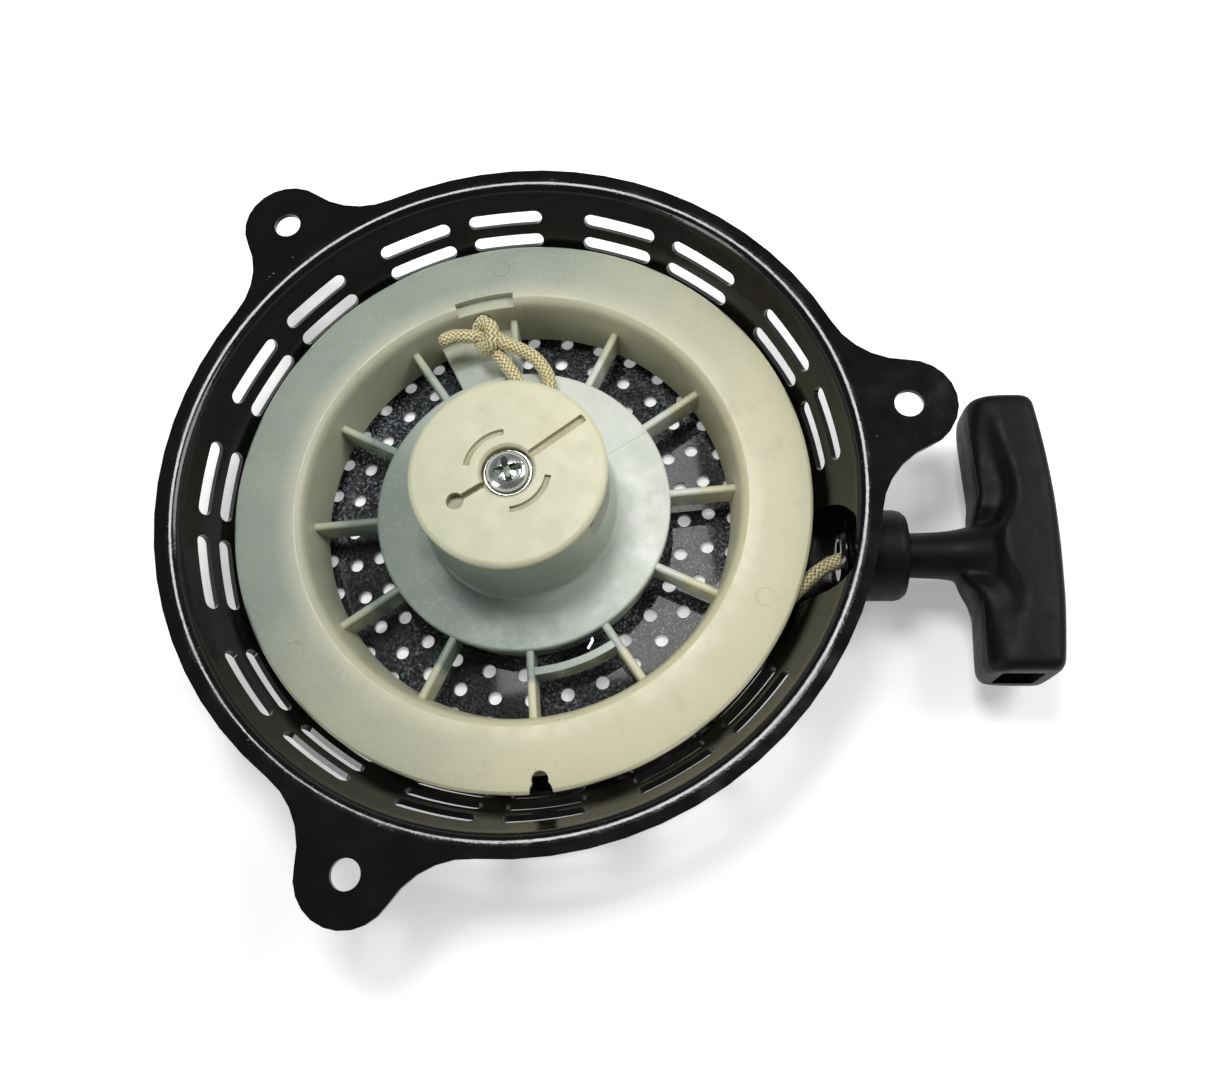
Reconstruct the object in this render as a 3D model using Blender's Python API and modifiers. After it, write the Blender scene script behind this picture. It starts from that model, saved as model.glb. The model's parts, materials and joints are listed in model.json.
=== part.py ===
"""Recoil starter for a small vertical-shaft engine, lying on its dome with the open side up.

Frame: the origin is the centre of the dome's flat outer face, +Z is the spindle axis towards the open
(engine) side, and +X is the direction in which the rope is pulled. Lengths are in millimetres here and
are turned into metres when a mesh is made.
"""

from math import acos, atan2, cos, hypot, pi, radians, sin, sqrt

import bmesh
import bpy
from mathutils import Matrix, Vector

MM = 0.001
GAP = 0.3                      # clearance between pieces that touch

# Housing: a pressed steel bowl with a flat flange and three ears
SHEET = 1.5
FLANGE_Z = 36.0                # height of the engine face above the dome's outer face
FLANGE_R = 95.0
WALL_TOP_R, WALL_TOP_Z = 88.0, 33.4        # inner surface of the conical wall, top
WALL_FOOT_R, WALL_FOOT_Z = 71.4, 2.6       # and foot
FLOOR_R = 69.0
EAR_PITCH_R = 104.7
EAR_R = 12.5
EAR_FILLET_R = 22.0
EAR_HOLE_R = 3.75
EAR_ANGLES = (11.2, 131.2, 251.2)
SLOT_ROWS = 3
SLOT_PITCH = 7.0               # between rows, along the wall
SLOT_WIDTH = 4.0
SLOT_SPAN = 14.4               # degrees, end to end
SLOT_FIRST_Z = 27.6
SLOT_PAIRS = 8
SLOT_PAIR_START, SLOT_PAIR_STEP, SLOT_PAIR_GAP = 12.8, 41.1, 18.3
VENT_RINGS = ((44.5, 28, 0.7), (51.5, 32, 3.1), (58.5, 36, 1.3))   # radius, number, first angle
VENT_HOLE_R = 1.9

# Rope run
ROPE_R = 2.0
PULL_Y, PULL_Z = -15.0, 17.5   # line of the pulled rope
POCKET_X = 89.5                # outer face of the rope pocket
POCKET_HALF = 14.5
POCKET_CORNER = 10.5
LEAD_R = 69.4                  # radius at which the rope leaves the pulley
GUIDE_END = 102.6              # outer end of the rope guide's collar

# Pulley
SPOKES = 12
SPOKE_START = 5.5
SPOKE_THICK = 2.2
PULLEY_TOP = 22.8
PULLEY_R = 79.0
RING_TOP_R, RING_FOOT_R = 60.0, 57.5
GROOVE_ROOT_R = 62.0
HUB_DISC_R, HUB_DISC_Z = 41.0, 15.5
HUB_DISC_THICK = 1.9
DRUM_R, DRUM_WALL = 25.5, 2.0
DRUM_TOP = 38.8
SLEEVE_R, BORE_R = 10.0, 6.8
KNOT_ANGLE = 104.0

# Spindle and centre stack
SHAFT_R, SHAFT_TOP = 6.5, 36.4
ARBOR_R, ARBOR_TOP = 9.0, 12.6
GUIDE_R, GUIDE_BOTTOM, GUIDE_TOP = 25.8, 39.4, 42.0

# Pawls
PAWL_PIVOT_R = 16.5
PAWL_ANGLE = -32.0             # where the first pawl's pivot stands
PAWL_BOTTOM, PAWL_TOP = 31.0, 36.0
PAWL_SWING = -40.0             # degrees, from folded to fully out
GUIDE_SWING = -30.0
PIVOT_R = 2.2
WINDOW = (-1.0, 62.0)          # degrees from the pawl's pivot

# Handle
STEM_R = 6.2
STEM_START = 101.0
GRIP_X = 129.0                 # middle of the grip
GRIP_Y = -10.5
GRIP_LENGTH = 74.0
GRIP_WIDTH = 20.2
GRIP_TAPER = 1.6               # how much narrower its upper end is
GRIP_THICK = 24.0
GRIP_BOW = 3.0


def remove_everything():
    for obj in list(bpy.data.objects):
        bpy.data.objects.remove(obj)


def collection(name):
    made = bpy.data.collections.new(name)
    bpy.context.scene.collection.children.link(made)
    return made


def material(name, colour, roughness, metallic=0.0):
    made = bpy.data.materials.new(name)
    made.use_nodes = True
    shader = made.node_tree.nodes["Principled BSDF"]
    shader.inputs["Base Color"].default_value = (*colour, 1.0)
    shader.inputs["Roughness"].default_value = roughness
    shader.inputs["Metallic"].default_value = metallic
    return made


def add(name, mesh, finish, home):
    obj = bpy.data.objects.new(name, mesh)
    home.objects.link(obj)
    if finish:
        obj.data.materials.append(finish)
        obj.data.shade_smooth()
        obj.data.set_sharp_from_angle(angle=radians(35))
    else:
        obj.hide_render = True
        obj.display_type = "WIRE"
    return obj


def evaluated_mesh(obj):
    """The object's mesh with its modifiers applied; the object itself is removed."""
    graph = bpy.context.evaluated_depsgraph_get()
    mesh = bpy.data.meshes.new_from_object(obj.evaluated_get(graph))
    bpy.data.objects.remove(obj)
    return mesh


def welded(mesh):
    shape = bmesh.new()
    shape.from_mesh(mesh)
    bmesh.ops.remove_doubles(shape, verts=shape.verts, dist=1e-6)
    bmesh.ops.recalc_face_normals(shape, faces=shape.faces)
    shape.to_mesh(mesh)
    shape.free()
    return mesh


def turned_mesh(profile, steps=48, closed=True):
    """A profile of (radius, height) points, clockwise with the radius to the right, turned about Z."""
    mesh = bpy.data.meshes.new("profile")
    points = [(r * MM, 0.0, z * MM) for r, z in profile]
    edges = [(i, i + 1) for i in range(len(points) - 1)]
    if closed:
        edges.append((len(points) - 1, 0))
    mesh.from_pydata(points, edges, [])
    obj = bpy.data.objects.new("turning", mesh)
    bpy.context.scene.collection.objects.link(obj)
    screw = obj.modifiers.new("turn", "SCREW")
    screw.steps = steps
    screw.render_steps = steps
    screw.use_merge_vertices = True
    screw.merge_threshold = 1e-5
    return welded(evaluated_mesh(obj))


def outline_mesh(points, z0, z1):
    """A flat outline, filled and extruded from height z0 to z1."""
    curve = bpy.data.curves.new("outline", "CURVE")
    curve.dimensions = "2D"
    curve.fill_mode = "BOTH"
    curve.extrude = (z1 - z0) / 2 * MM
    spline = curve.splines.new("POLY")
    spline.points.add(len(points) - 1)
    for slot, (x, y) in zip(spline.points, points):
        slot.co = (x * MM, y * MM, 0.0, 1.0)
    spline.use_cyclic_u = True
    obj = bpy.data.objects.new("outline", curve)
    bpy.context.scene.collection.objects.link(obj)
    mesh = evaluated_mesh(obj)
    mesh.transform(Matrix.Translation((0, 0, (z0 + z1) / 2 * MM)))
    return welded(mesh)


def tube_mesh(points, radius, resolution=2):
    """A round tube along points, with filled ends."""
    curve = bpy.data.curves.new("tube", "CURVE")
    curve.dimensions = "3D"
    curve.bevel_depth = radius * MM
    curve.bevel_resolution = resolution
    curve.use_fill_caps = True
    spline = curve.splines.new("POLY")
    spline.points.add(len(points) - 1)
    for slot, point in zip(spline.points, points):
        slot.co = (*[value * MM for value in point], 1.0)
    obj = bpy.data.objects.new("tube", curve)
    bpy.context.scene.collection.objects.link(obj)
    return welded(evaluated_mesh(obj))


def cylinder_mesh(radius, start, end, sides=16):
    """A cylinder of one radius between two points."""
    a, b = Vector(start) * MM, Vector(end) * MM
    shape = bmesh.new()
    bmesh.ops.create_cone(shape, cap_ends=True, segments=sides, radius1=radius * MM,
                          radius2=radius * MM, depth=(b - a).length)
    turn = (b - a).to_track_quat("Z", "Y").to_matrix().to_4x4()
    bmesh.ops.transform(shape, matrix=Matrix.Translation((a + b) / 2) @ turn, verts=shape.verts)
    mesh = bpy.data.meshes.new("cylinder")
    shape.to_mesh(mesh)
    shape.free()
    return mesh


def box_mesh(low, high):
    shape = bmesh.new()
    bmesh.ops.create_cube(shape, size=1.0)
    size = [(b - a) * MM for a, b in zip(low, high)]
    middle = [(a + b) / 2 * MM for a, b in zip(low, high)]
    bmesh.ops.scale(shape, vec=size, verts=shape.verts)
    bmesh.ops.translate(shape, vec=middle, verts=shape.verts)
    mesh = bpy.data.meshes.new("box")
    shape.to_mesh(mesh)
    shape.free()
    return mesh


def ball_mesh(radius, centre, sides=14, rings=9):
    shape = bmesh.new()
    bmesh.ops.create_uvsphere(shape, u_segments=sides, v_segments=rings, radius=radius * MM)
    bmesh.ops.translate(shape, vec=Vector(centre) * MM, verts=shape.verts)
    mesh = bpy.data.meshes.new("ball")
    shape.to_mesh(mesh)
    shape.free()
    return mesh


def moved(mesh, matrix):
    mesh.transform(matrix)
    return mesh


def about_z(degrees):
    return Matrix.Rotation(radians(degrees), 4, "Z")


def along_x(x, y, z):
    """Takes a shape turned about Z to one about a line along +X that starts at x, y, z."""
    return Matrix.Translation((x * MM, y * MM, z * MM)) @ Matrix.Rotation(pi / 2, 4, "Y")


def joined(meshes):
    """Several separate shapes as one mesh."""
    shape = bmesh.new()
    for mesh in meshes:
        shape.from_mesh(mesh)
    made = bpy.data.meshes.new("joined")
    shape.to_mesh(made)
    shape.free()
    return made


def combine(obj, operation, mesh, name):
    """Adds a Boolean modifier to obj with mesh as its second shape."""
    tool = add(f"{obj.name}_{name}", mesh, None, CUTTERS)
    step = obj.modifiers.new(name, "BOOLEAN")
    step.operation = operation
    step.solver = "EXACT"
    step.object = tool


def cut(obj, mesh, name):
    combine(obj, "DIFFERENCE", mesh, name)


def union(obj, mesh, name):
    combine(obj, "UNION", mesh, name)


def polar(radius, degrees):
    return radius * cos(radians(degrees)), radius * sin(radians(degrees))


def arc(cx, cy, radius, start, end, count):
    """Points on an arc, angles in degrees."""
    steps = [start + (end - start) * i / count for i in range(count + 1)]
    return [(cx + radius * cos(radians(a)), cy + radius * sin(radians(a))) for a in steps]


def rounded_rectangle(x0, x1, y0, y1, corner, count=4):
    points = arc(x1 - corner, y1 - corner, corner, 0, 90, count)
    points += arc(x0 + corner, y1 - corner, corner, 90, 180, count)
    points += arc(x0 + corner, y0 + corner, corner, 180, 270, count)
    points += arc(x1 - corner, y0 + corner, corner, 270, 360, count)
    return points


# ---------------------------------------------------------------- housing

def wall_radius(z):
    """Inner radius of the conical wall at height z."""
    slope = (WALL_TOP_R - WALL_FOOT_R) / (WALL_TOP_Z - WALL_FOOT_Z)
    return WALL_FOOT_R + (z - WALL_FOOT_Z) * slope


def flange_outline():
    """The rim's circle with three ears, each run into it through two hollow fillets."""
    to_rim, to_ear = FLANGE_R + EAR_FILLET_R, EAR_R + EAR_FILLET_R
    turn = acos((to_rim**2 + EAR_PITCH_R**2 - to_ear**2) / (2 * to_rim * EAR_PITCH_R))
    fx, fy = to_rim * cos(turn), to_rim * sin(turn)
    to_centre = atan2(-fy, EAR_PITCH_R - fx)
    rim_side, ear_side = 180 + turn * 180 / pi, to_centre * 180 / pi + 360
    half = arc(fx, fy, EAR_FILLET_R, rim_side, ear_side, 5)
    end_angle = atan2(fy, fx - EAR_PITCH_R) * 180 / pi
    tip = arc(EAR_PITCH_R, 0, EAR_R, end_angle, -end_angle, 10)[1:-1]
    other = [(x, -y) for x, y in reversed(half)]
    rim = arc(0, 0, FLANGE_R, -turn * 180 / pi, turn * 180 / pi - 120, 16)[1:-1]
    outline = []
    for angle in reversed(EAR_ANGLES):
        c, s = cos(radians(angle)), sin(radians(angle))
        outline += [(x * c - y * s, x * s + y * c) for x, y in half + tip + other + rim]
    return outline


def slot_cutter(z, degrees):
    """A round-ended bar through the conical wall, bent along it."""
    radius = wall_radius(z)
    lean = atan2(WALL_TOP_R - WALL_FOOT_R, WALL_TOP_Z - WALL_FOOT_Z)
    half_angle = radians(SLOT_SPAN) / 2
    half_width = SLOT_WIDTH / 2
    straight = half_angle * radius - half_width
    flat = arc(straight, 0, half_width, 90, -90, 3) + arc(-straight, 0, half_width, 270, 90, 3)
    shape = bmesh.new()
    rings = []
    for depth in (-4.0, 5.0):
        ring = []
        for along, across in flat:
            r = radius + depth * cos(lean) + across * sin(lean)
            height = z - depth * sin(lean) + across * cos(lean)
            a = radians(degrees) + along / radius
            ring.append(shape.verts.new((r * cos(a) * MM, r * sin(a) * MM, height * MM)))
        rings.append(ring)
    inner, outer = rings
    shape.faces.new(inner)
    shape.faces.new(list(reversed(outer)))
    for i in range(len(inner)):
        j = (i + 1) % len(inner)
        shape.faces.new((inner[j], inner[i], outer[i], outer[j]))
    bmesh.ops.recalc_face_normals(shape, faces=shape.faces)
    mesh = bpy.data.meshes.new("slot")
    shape.to_mesh(mesh)
    shape.free()
    return mesh


def make_housing():
    inner = [(0, SHEET), (FLOOR_R - 1, SHEET), (WALL_FOOT_R, WALL_FOOT_Z), (WALL_TOP_R, WALL_TOP_Z),
             (89.3, 35.2), (91.4, FLANGE_Z)]
    outer = [(0, FLANGE_Z - 0.6), (92.6, FLANGE_Z - 0.6), (92.2, FLANGE_Z - 2), (90.4, 33.5), (89.5, 32.0),
             (73.0, 1.9), (71.8, 0.5), (FLOOR_R + 0.5, 0), (0, 0)]
    housing = add("housing", turned_mesh(outer, 60, closed=False), BLACK_STEEL, PARTS)
    union(housing, outline_mesh(flange_outline(), FLANGE_Z - SHEET, FLANGE_Z), "flange")
    y0, y1 = PULL_Y - POCKET_HALF, PULL_Y + POCKET_HALF
    block = rounded_rectangle(55, POCKET_X, y0, y1, POCKET_CORNER)
    union(housing, outline_mesh(block, 4.0, FLANGE_Z - SHEET / 2), "pocket")
    hollow = [(0, FLANGE_Z + 4), (92.0, FLANGE_Z + 4), (91.4, FLANGE_Z)] + list(reversed(inner[:-1]))
    cut(housing, turned_mesh(hollow, 60, closed=False), "bowl")
    block = rounded_rectangle(55, POCKET_X - SHEET, y0 + SHEET, y1 - SHEET, POCKET_CORNER - SHEET)
    cut(housing, outline_mesh(block, 4.0 + SHEET, FLANGE_Z + 4), "pocket_hollow")
    slots = []
    for row in range(SLOT_ROWS):
        lean = atan2(WALL_TOP_R - WALL_FOOT_R, WALL_TOP_Z - WALL_FOOT_Z)
        z = SLOT_FIRST_Z - row * SLOT_PITCH * cos(lean)
        for pair in range(SLOT_PAIRS):
            first = SLOT_PAIR_START + pair * SLOT_PAIR_STEP
            slots += [slot_cutter(z, first), slot_cutter(z, first + SLOT_PAIR_GAP)]
    cut(housing, joined(slots), "slots")
    holes = [cylinder_mesh(EAR_HOLE_R, (*polar(EAR_PITCH_R, a), 30), (*polar(EAR_PITCH_R, a), 40), 16)
             for a in EAR_ANGLES]
    for radius, count, first in VENT_RINGS:
        for i in range(count):
            x, y = polar(radius, first + 360 * i / count)
            holes.append(cylinder_mesh(VENT_HOLE_R, (x, y, -2), (x, y, 5), 6))
    holes.append(cylinder_mesh(6.3, (84, PULL_Y, PULL_Z), (94, PULL_Y, PULL_Z), 20))
    cut(housing, joined(holes), "holes")


# ---------------------------------------------------------------- spindle and what stands still with it

def make_spindle():
    profile = [(3.3, SHAFT_TOP), (SHAFT_R, SHAFT_TOP), (SHAFT_R, ARBOR_TOP), (ARBOR_R, ARBOR_TOP),
               (ARBOR_R, 3.3), (12.0, 3.3), (12.0, SHEET + GAP), (0, SHEET + GAP)]
    bottom_of_thread = [(0, 20.0), (3.3, 20.0)]
    spindle = add("spindle", turned_mesh(bottom_of_thread + profile, 32, closed=False), STEEL, PARTS)
    cut(spindle, box_mesh((6.0, -1.0, 4.0), (12.0, 1.0, 14.0)), "spring_slot")


def make_centre_screw():
    head = [(0, 41.9), (1.2, 41.9), (1.9, 43.3), (4.0, 43.1), (5.4, 42.2), (5.8, 41.2), (5.8, 40.5),
            (3.0, 40.5), (3.0, 21.0), (0, 21.0)]
    screw = add("centre_screw", turned_mesh(head, 24, closed=False), ZINC, PARTS)
    cross = [box_mesh((-2.6, -0.55, 41.2), (2.6, 0.55, 45)), box_mesh((-0.55, -2.6, 41.2), (0.55, 2.6, 45))]
    for number, bar in enumerate(cross):
        cut(screw, moved(bar, about_z(25)), f"recess_{number}")


def make_screw_washer():
    profile = [(3.4, 40.2), (6.2, 40.2), (6.2, 39.4), (3.4, 39.4)]
    add("screw_washer", turned_mesh(profile, 24), STEEL, PARTS)


def make_thrust_washer():
    profile = [(BORE_R, 13.3), (9.8, 13.3), (9.8, 12.9), (BORE_R, 12.9)]
    add("thrust_washer", turned_mesh(profile, 24), STEEL, PARTS)


def make_rope_guide():
    """Nylon bushing: a neck through the pocket's wall and a domed collar outside it."""
    bore, mouth, end = ROPE_R + 1.0, STEM_R + 0.6, GUIDE_END - (POCKET_X - SHEET - GAP)
    profile = [(bore, 0.0), (bore, end - 5.6), (mouth, end - 5.0), (mouth, end), (9.4, end),
               (11.4, end - 1.2), (12.0, end - 3.2), (12.0, 2.4), (6.0, 2.4), (6.0, 0.0)]
    mesh = moved(turned_mesh(profile, 28), along_x(POCKET_X - SHEET - GAP, PULL_Y, PULL_Z))
    add("rope_guide", mesh, BLACK_PLASTIC, PARTS)


def make_rope_eyelet():
    profile = [(3.4, 1.6), (4.2, 2.2), (7.2, 2.2), (7.6, 1.4), (6.6, 0.2), (4.2, 0.2), (3.4, 0.8)]
    start = POCKET_X - SHEET - GAP - 2.2 - GAP
    add("rope_eyelet", moved(turned_mesh(profile, 24), along_x(start, PULL_Y, PULL_Z)), BLACK_STEEL, PARTS)


# ---------------------------------------------------------------- rope

def tangent_angle():
    """Angle of the point where the rope to the eyelet leaves the winding."""
    ex, ey = POCKET_X - 6.0, PULL_Y - 1.0
    return atan2(ey, ex) - acos(LEAD_R / hypot(ex, ey))


def lead_route():
    """The rope from the pulley, through the eyelet and guide, into the handle's stem."""
    a = tangent_angle()
    start = Vector((LEAD_R * cos(a), LEAD_R * sin(a), PULL_Z))
    away = Vector((-sin(a), cos(a), 0))
    corner = start + away * ((PULL_Y - start.y) / away.y)
    reach = 9.0
    points = [start + away * step for step in (0, 10, 20, 30)]
    first, last = corner - away * reach, corner + Vector((reach, 0, 0))
    for i in range(7):
        t = i / 6
        points.append(first * (1 - t) ** 2 + corner * 2 * t * (1 - t) + last * t * t)
    points.append(Vector((112.0, PULL_Y, PULL_Z)))
    return points


def make_rope():
    add("rope_lead", tube_mesh(lead_route(), ROPE_R), ROPE, PARTS)
    winding = [(GROOVE_ROOT_R + GAP, 19.6), (66.6, 19.6), (67.0, 19.2), (67.0, 15.8), (66.6, 15.4),
               (GROOVE_ROOT_R + GAP, 15.4)]
    add("rope_winding", turned_mesh(winding, 48), ROPE, PARTS)
    kx, ky = polar(51.5, KNOT_ANGLE)
    knot = (kx, ky, 20.0)
    loop = [knot, (-7.0, 44.5, 19.5), (-1.5, 36.0, 19.0), (3.5, 33.0, 19.0), (6.0, 36.5, 19.2),
            (2.0, 44.0, 19.8), knot]
    tail = [knot, (-16.0, 50.5, 20.5), (-24.0, 48.5, 21.0)]
    rope = add("rope_knot", ball_mesh(4.6, knot), ROPE, PARTS)
    union(rope, tube_mesh(loop[:4] , ROPE_R), "loop_out")
    union(rope, tube_mesh(loop[3:], ROPE_R), "loop_back")
    union(rope, tube_mesh(tail, ROPE_R), "tail")


# ---------------------------------------------------------------- pulley and what turns with it

def ring_profile():
    return [(RING_TOP_R, PULLEY_TOP - 0.6), (RING_TOP_R + 0.8, PULLEY_TOP), (PULLEY_R - 0.5, PULLEY_TOP),
            (PULLEY_R, PULLEY_TOP - 0.5), (PULLEY_R, PULLEY_TOP - 1.7), (GROOVE_ROOT_R, PULLEY_TOP - 2.3),
            (GROOVE_ROOT_R, 14.4), (73.5, 14.0), (73.5, 12.4), (GROOVE_ROOT_R - 1, 12.0),
            (GROOVE_ROOT_R - 1.6, 5.4), (RING_FOOT_R, 5.4)]


def hub_profile():
    disc_bottom = HUB_DISC_Z - HUB_DISC_THICK
    return [(BORE_R, 30.0), (SLEEVE_R, 30.0), (SLEEVE_R + 0.4, HUB_DISC_Z), (HUB_DISC_R, HUB_DISC_Z),
            (HUB_DISC_R, disc_bottom), (39.6, disc_bottom), (39.6, 3.8), (37.6, 3.8), (37.6, disc_bottom),
            (BORE_R, disc_bottom)]


def make_pulley_rim():
    """The grooved ring that the rope winds on."""
    rim = add("pulley_rim", turned_mesh(ring_profile(), 60), NYLON, PARTS)
    nick = [(PULLEY_R + 3, -3.6), (PULLEY_R - 1.5, -2.8)] + arc(PULLEY_R - 3.4, 0, 2.2, -70, -290, 6)
    nick += [(PULLEY_R - 1.5, 2.8), (PULLEY_R + 3, 3.6)]
    cut(rim, moved(outline_mesh(nick, 19, 26), about_z(-83)), "threading_nick")
    step = arc(0, 0, 56.0, 94.5, 110, 4) + arc(0, 0, 63.5, 110, 94.5, 4)
    cut(rim, outline_mesh(step, 20.6, 26), "knot_step")
    hx, hy = polar(54, KNOT_ANGLE)
    ox, oy = polar(66, KNOT_ANGLE)
    cut(rim, cylinder_mesh(ROPE_R + 0.5, (hx, hy, 17.6), (ox, oy, 17.6), 12), "rope_hole")


def make_pulley_spokes():
    """Twelve spokes, the shelf under the knot and the wall of the spring's hook pocket."""
    half = SPOKE_THICK / 2
    start, end = HUB_DISC_R + GAP, RING_FOOT_R - 0.2
    for i in range(SPOKES):
        bar = box_mesh((start, -half, 6.4), (end, half, HUB_DISC_Z - 0.4))
        add(f"spoke_{i + 1:02d}", moved(bar, about_z(SPOKE_START + i * 360 / SPOKES)), NYLON, PARTS)
    shelf = arc(0, 0, start, 98, 118, 3) + arc(0, 0, end, 118, 98, 4)
    add("knot_shelf", outline_mesh(shelf, 9.0, 11.0), NYLON, PARTS)
    band = arc(0, 0, 45.4, 277.4, 303.6, 5) + arc(0, 0, 47.4, 303.6, 277.4, 5)
    add("spring_pocket", outline_mesh(band, 6.4, HUB_DISC_Z - 0.9), NYLON, PARTS)


def make_pulley_hub():
    """The disc over the spring, its skirt, the sleeve round the spindle and the pawls' posts."""
    hub = add("pulley_hub", turned_mesh(hub_profile(), 60), NYLON, PARTS)
    posts, pins = [], []
    for turn in (0, 180):
        x, y = polar(PAWL_PIVOT_R, PAWL_ANGLE + turn)
        posts.append(cylinder_mesh(4.2, (x, y, HUB_DISC_Z - 0.8), (x, y, PAWL_BOTTOM - GAP), 14))
        pins.append(cylinder_mesh(PIVOT_R, (x, y, 29), (x, y, PAWL_TOP + 1.4), 12))
    union(hub, joined(posts), "pawl_bosses")
    union(hub, joined(pins), "pawl_pins")
    exit_slot = arc(0, 0, 35.5, 292, 306, 3) + arc(0, 0, 43, 306, 292, 3)
    cut(hub, outline_mesh(exit_slot, 4.6, HUB_DISC_Z - HUB_DISC_THICK - 0.6), "spring_hook_slot")


def make_pulley_drum():
    """The wall round the pawls, with a window for each to swing out of."""
    base = HUB_DISC_Z + GAP
    profile = [(DRUM_R - DRUM_WALL, DRUM_TOP), (DRUM_R, DRUM_TOP), (DRUM_R + 0.7, base + 1),
               (DRUM_R + 1.6, base), (DRUM_R - DRUM_WALL, base)]
    drum = add("pulley_drum", turned_mesh(profile, 60), NYLON, PARTS)
    windows = []
    for turn in (0, 180):
        start, end = PAWL_ANGLE + turn + WINDOW[0], PAWL_ANGLE + turn + WINDOW[1]
        window = arc(0, 0, DRUM_R - DRUM_WALL - 1.2, start, end, 6) + arc(0, 0, DRUM_R + 3, end, start, 6)
        windows.append(outline_mesh(window, PAWL_BOTTOM - 0.8, DRUM_TOP + 2))
    cut(drum, joined(windows), "pawl_windows")


def make_recoil_spring():
    """Flat spiral spring: a band on edge, with its outer end bent out through the slot in the hub's skirt."""
    turns, steps_per_turn = 7, 22
    inner_r, outer_r, half = 11.5, 35.8, 0.3
    low, high = 4.6, 12.4
    count = turns * steps_per_turn
    end_angle = 296.0
    path = []
    for i in range(count + 1):
        t = i / count
        path.append(polar(inner_r + (outer_r - inner_r) * t ** 0.8, end_angle - 360 * turns * (1 - t)))
    path += [polar(37.2, end_angle + 2.4), polar(40.0, end_angle + 3.6), polar(42.4, end_angle + 2.6),
             polar(43.8, end_angle)]
    left, right = [], []
    for i, point in enumerate(path):
        before, after = Vector(path[max(i - 1, 0)]), Vector(path[min(i + 1, len(path) - 1)])
        heading = (after - before).normalized()
        side = Vector((-heading.y, heading.x)) * half
        left.append(tuple(Vector(point) + side))
        right.append(tuple(Vector(point) - side))
    add("recoil_spring", outline_mesh(left + list(reversed(right)), low, high), SPRING_STEEL, PARTS)


def make_spring_cover():
    profile = [(12.6, 3.5), (39.6, 3.5), (39.6, 2.6), (12.6, 2.6)]
    add("spring_cover", turned_mesh(profile, 40), STEEL, PARTS)


# ---------------------------------------------------------------- ratchet

def pawl_nub(share):
    """Where the pawl's cam nub is in the guide's frame, at a share of the full swing."""
    swing = radians(PAWL_SWING * share)
    px, py = PAWL_PIVOT_R, 0.0
    vx, vy = -1.2, 8.6
    x = px + vx * cos(swing) - vy * sin(swing)
    y = py + vx * sin(swing) + vy * cos(swing)
    back = radians(-GUIDE_SWING * share)
    return x * cos(back) - y * sin(back), x * sin(back) + y * cos(back)


def cam_track():
    """Outline of the groove that one nub runs in, on the underside of the guide."""
    half = 2.3
    path = [Vector(pawl_nub(share)) for share in (0.0, 0.25, 0.5, 0.75, 1.0)]
    path.insert(0, path[0] + (path[0] - path[1]).normalized() * half)
    path.append(path[-1] + (path[-1] - path[-2]).normalized() * half)
    left, right = [], []
    for i, point in enumerate(path):
        heading = (path[min(i + 1, len(path) - 1)] - path[max(i - 1, 0)]).normalized()
        side = Vector((-heading.y, heading.x)) * half
        left.append(tuple(point + side))
        right.append(tuple(point - side))
    return left + list(reversed(right))


def make_ratchet_guide():
    profile = [(4.2, 39.1), (6.9, 39.1), (6.9, GUIDE_TOP - 0.4), (7.4, GUIDE_TOP), (GUIDE_R - 0.6, GUIDE_TOP),
               (GUIDE_R, GUIDE_TOP - 0.6), (GUIDE_R, GUIDE_BOTTOM), (8.6, GUIDE_BOTTOM), (8.6, 37.2), (4.2, 37.2)]
    guide = add("ratchet_guide", turned_mesh(profile, 48), NYLON_GUIDE, PARTS)
    groove = box_mesh((8.0, -0.9, GUIDE_TOP - 0.8), (23.8, 0.9, GUIDE_TOP + 2))
    cut(guide, moved(groove, about_z(37)), "long_groove")
    keyhole = box_mesh((6.0, -0.7, GUIDE_TOP - 0.8), (14.5, 0.7, GUIDE_TOP + 2))
    cut(guide, moved(keyhole, about_z(213)), "key_groove")
    kx, ky = polar(15.3, 213)
    cut(guide, cylinder_mesh(2.2, (kx, ky, GUIDE_TOP - 0.8), (kx, ky, GUIDE_TOP + 2), 14), "key_round")
    arcs = []
    for start in (97, 277):
        band = arc(0, 0, 10.2, start, start + 76, 6) + arc(0, 0, 11.2, start + 76, start, 6)
        arcs.append(outline_mesh(band, GUIDE_TOP - 0.5, GUIDE_TOP + 2))
    cut(guide, joined(arcs), "arc_grooves")
    tracks = [moved(outline_mesh(cam_track(), GUIDE_BOTTOM - 2, GUIDE_BOTTOM + 1.3), about_z(PAWL_ANGLE + turn))
              for turn in (0, 180)]
    cut(guide, joined(tracks), "cam_tracks")


def make_brake_spring():
    """Small coil spring that presses on the guide's boss and gives it drag."""
    turns, steps = 2.5, 14
    low, high, radius = 31.1, 36.0, 8.1
    count = int(turns * steps)
    points = [(radius * cos(2 * pi * i / steps), radius * sin(2 * pi * i / steps),
               low + (high - low) * i / count) for i in range(count + 1)]
    add("brake_spring", tube_mesh(points, 0.6, 1), SPRING_STEEL, PARTS)


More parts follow.
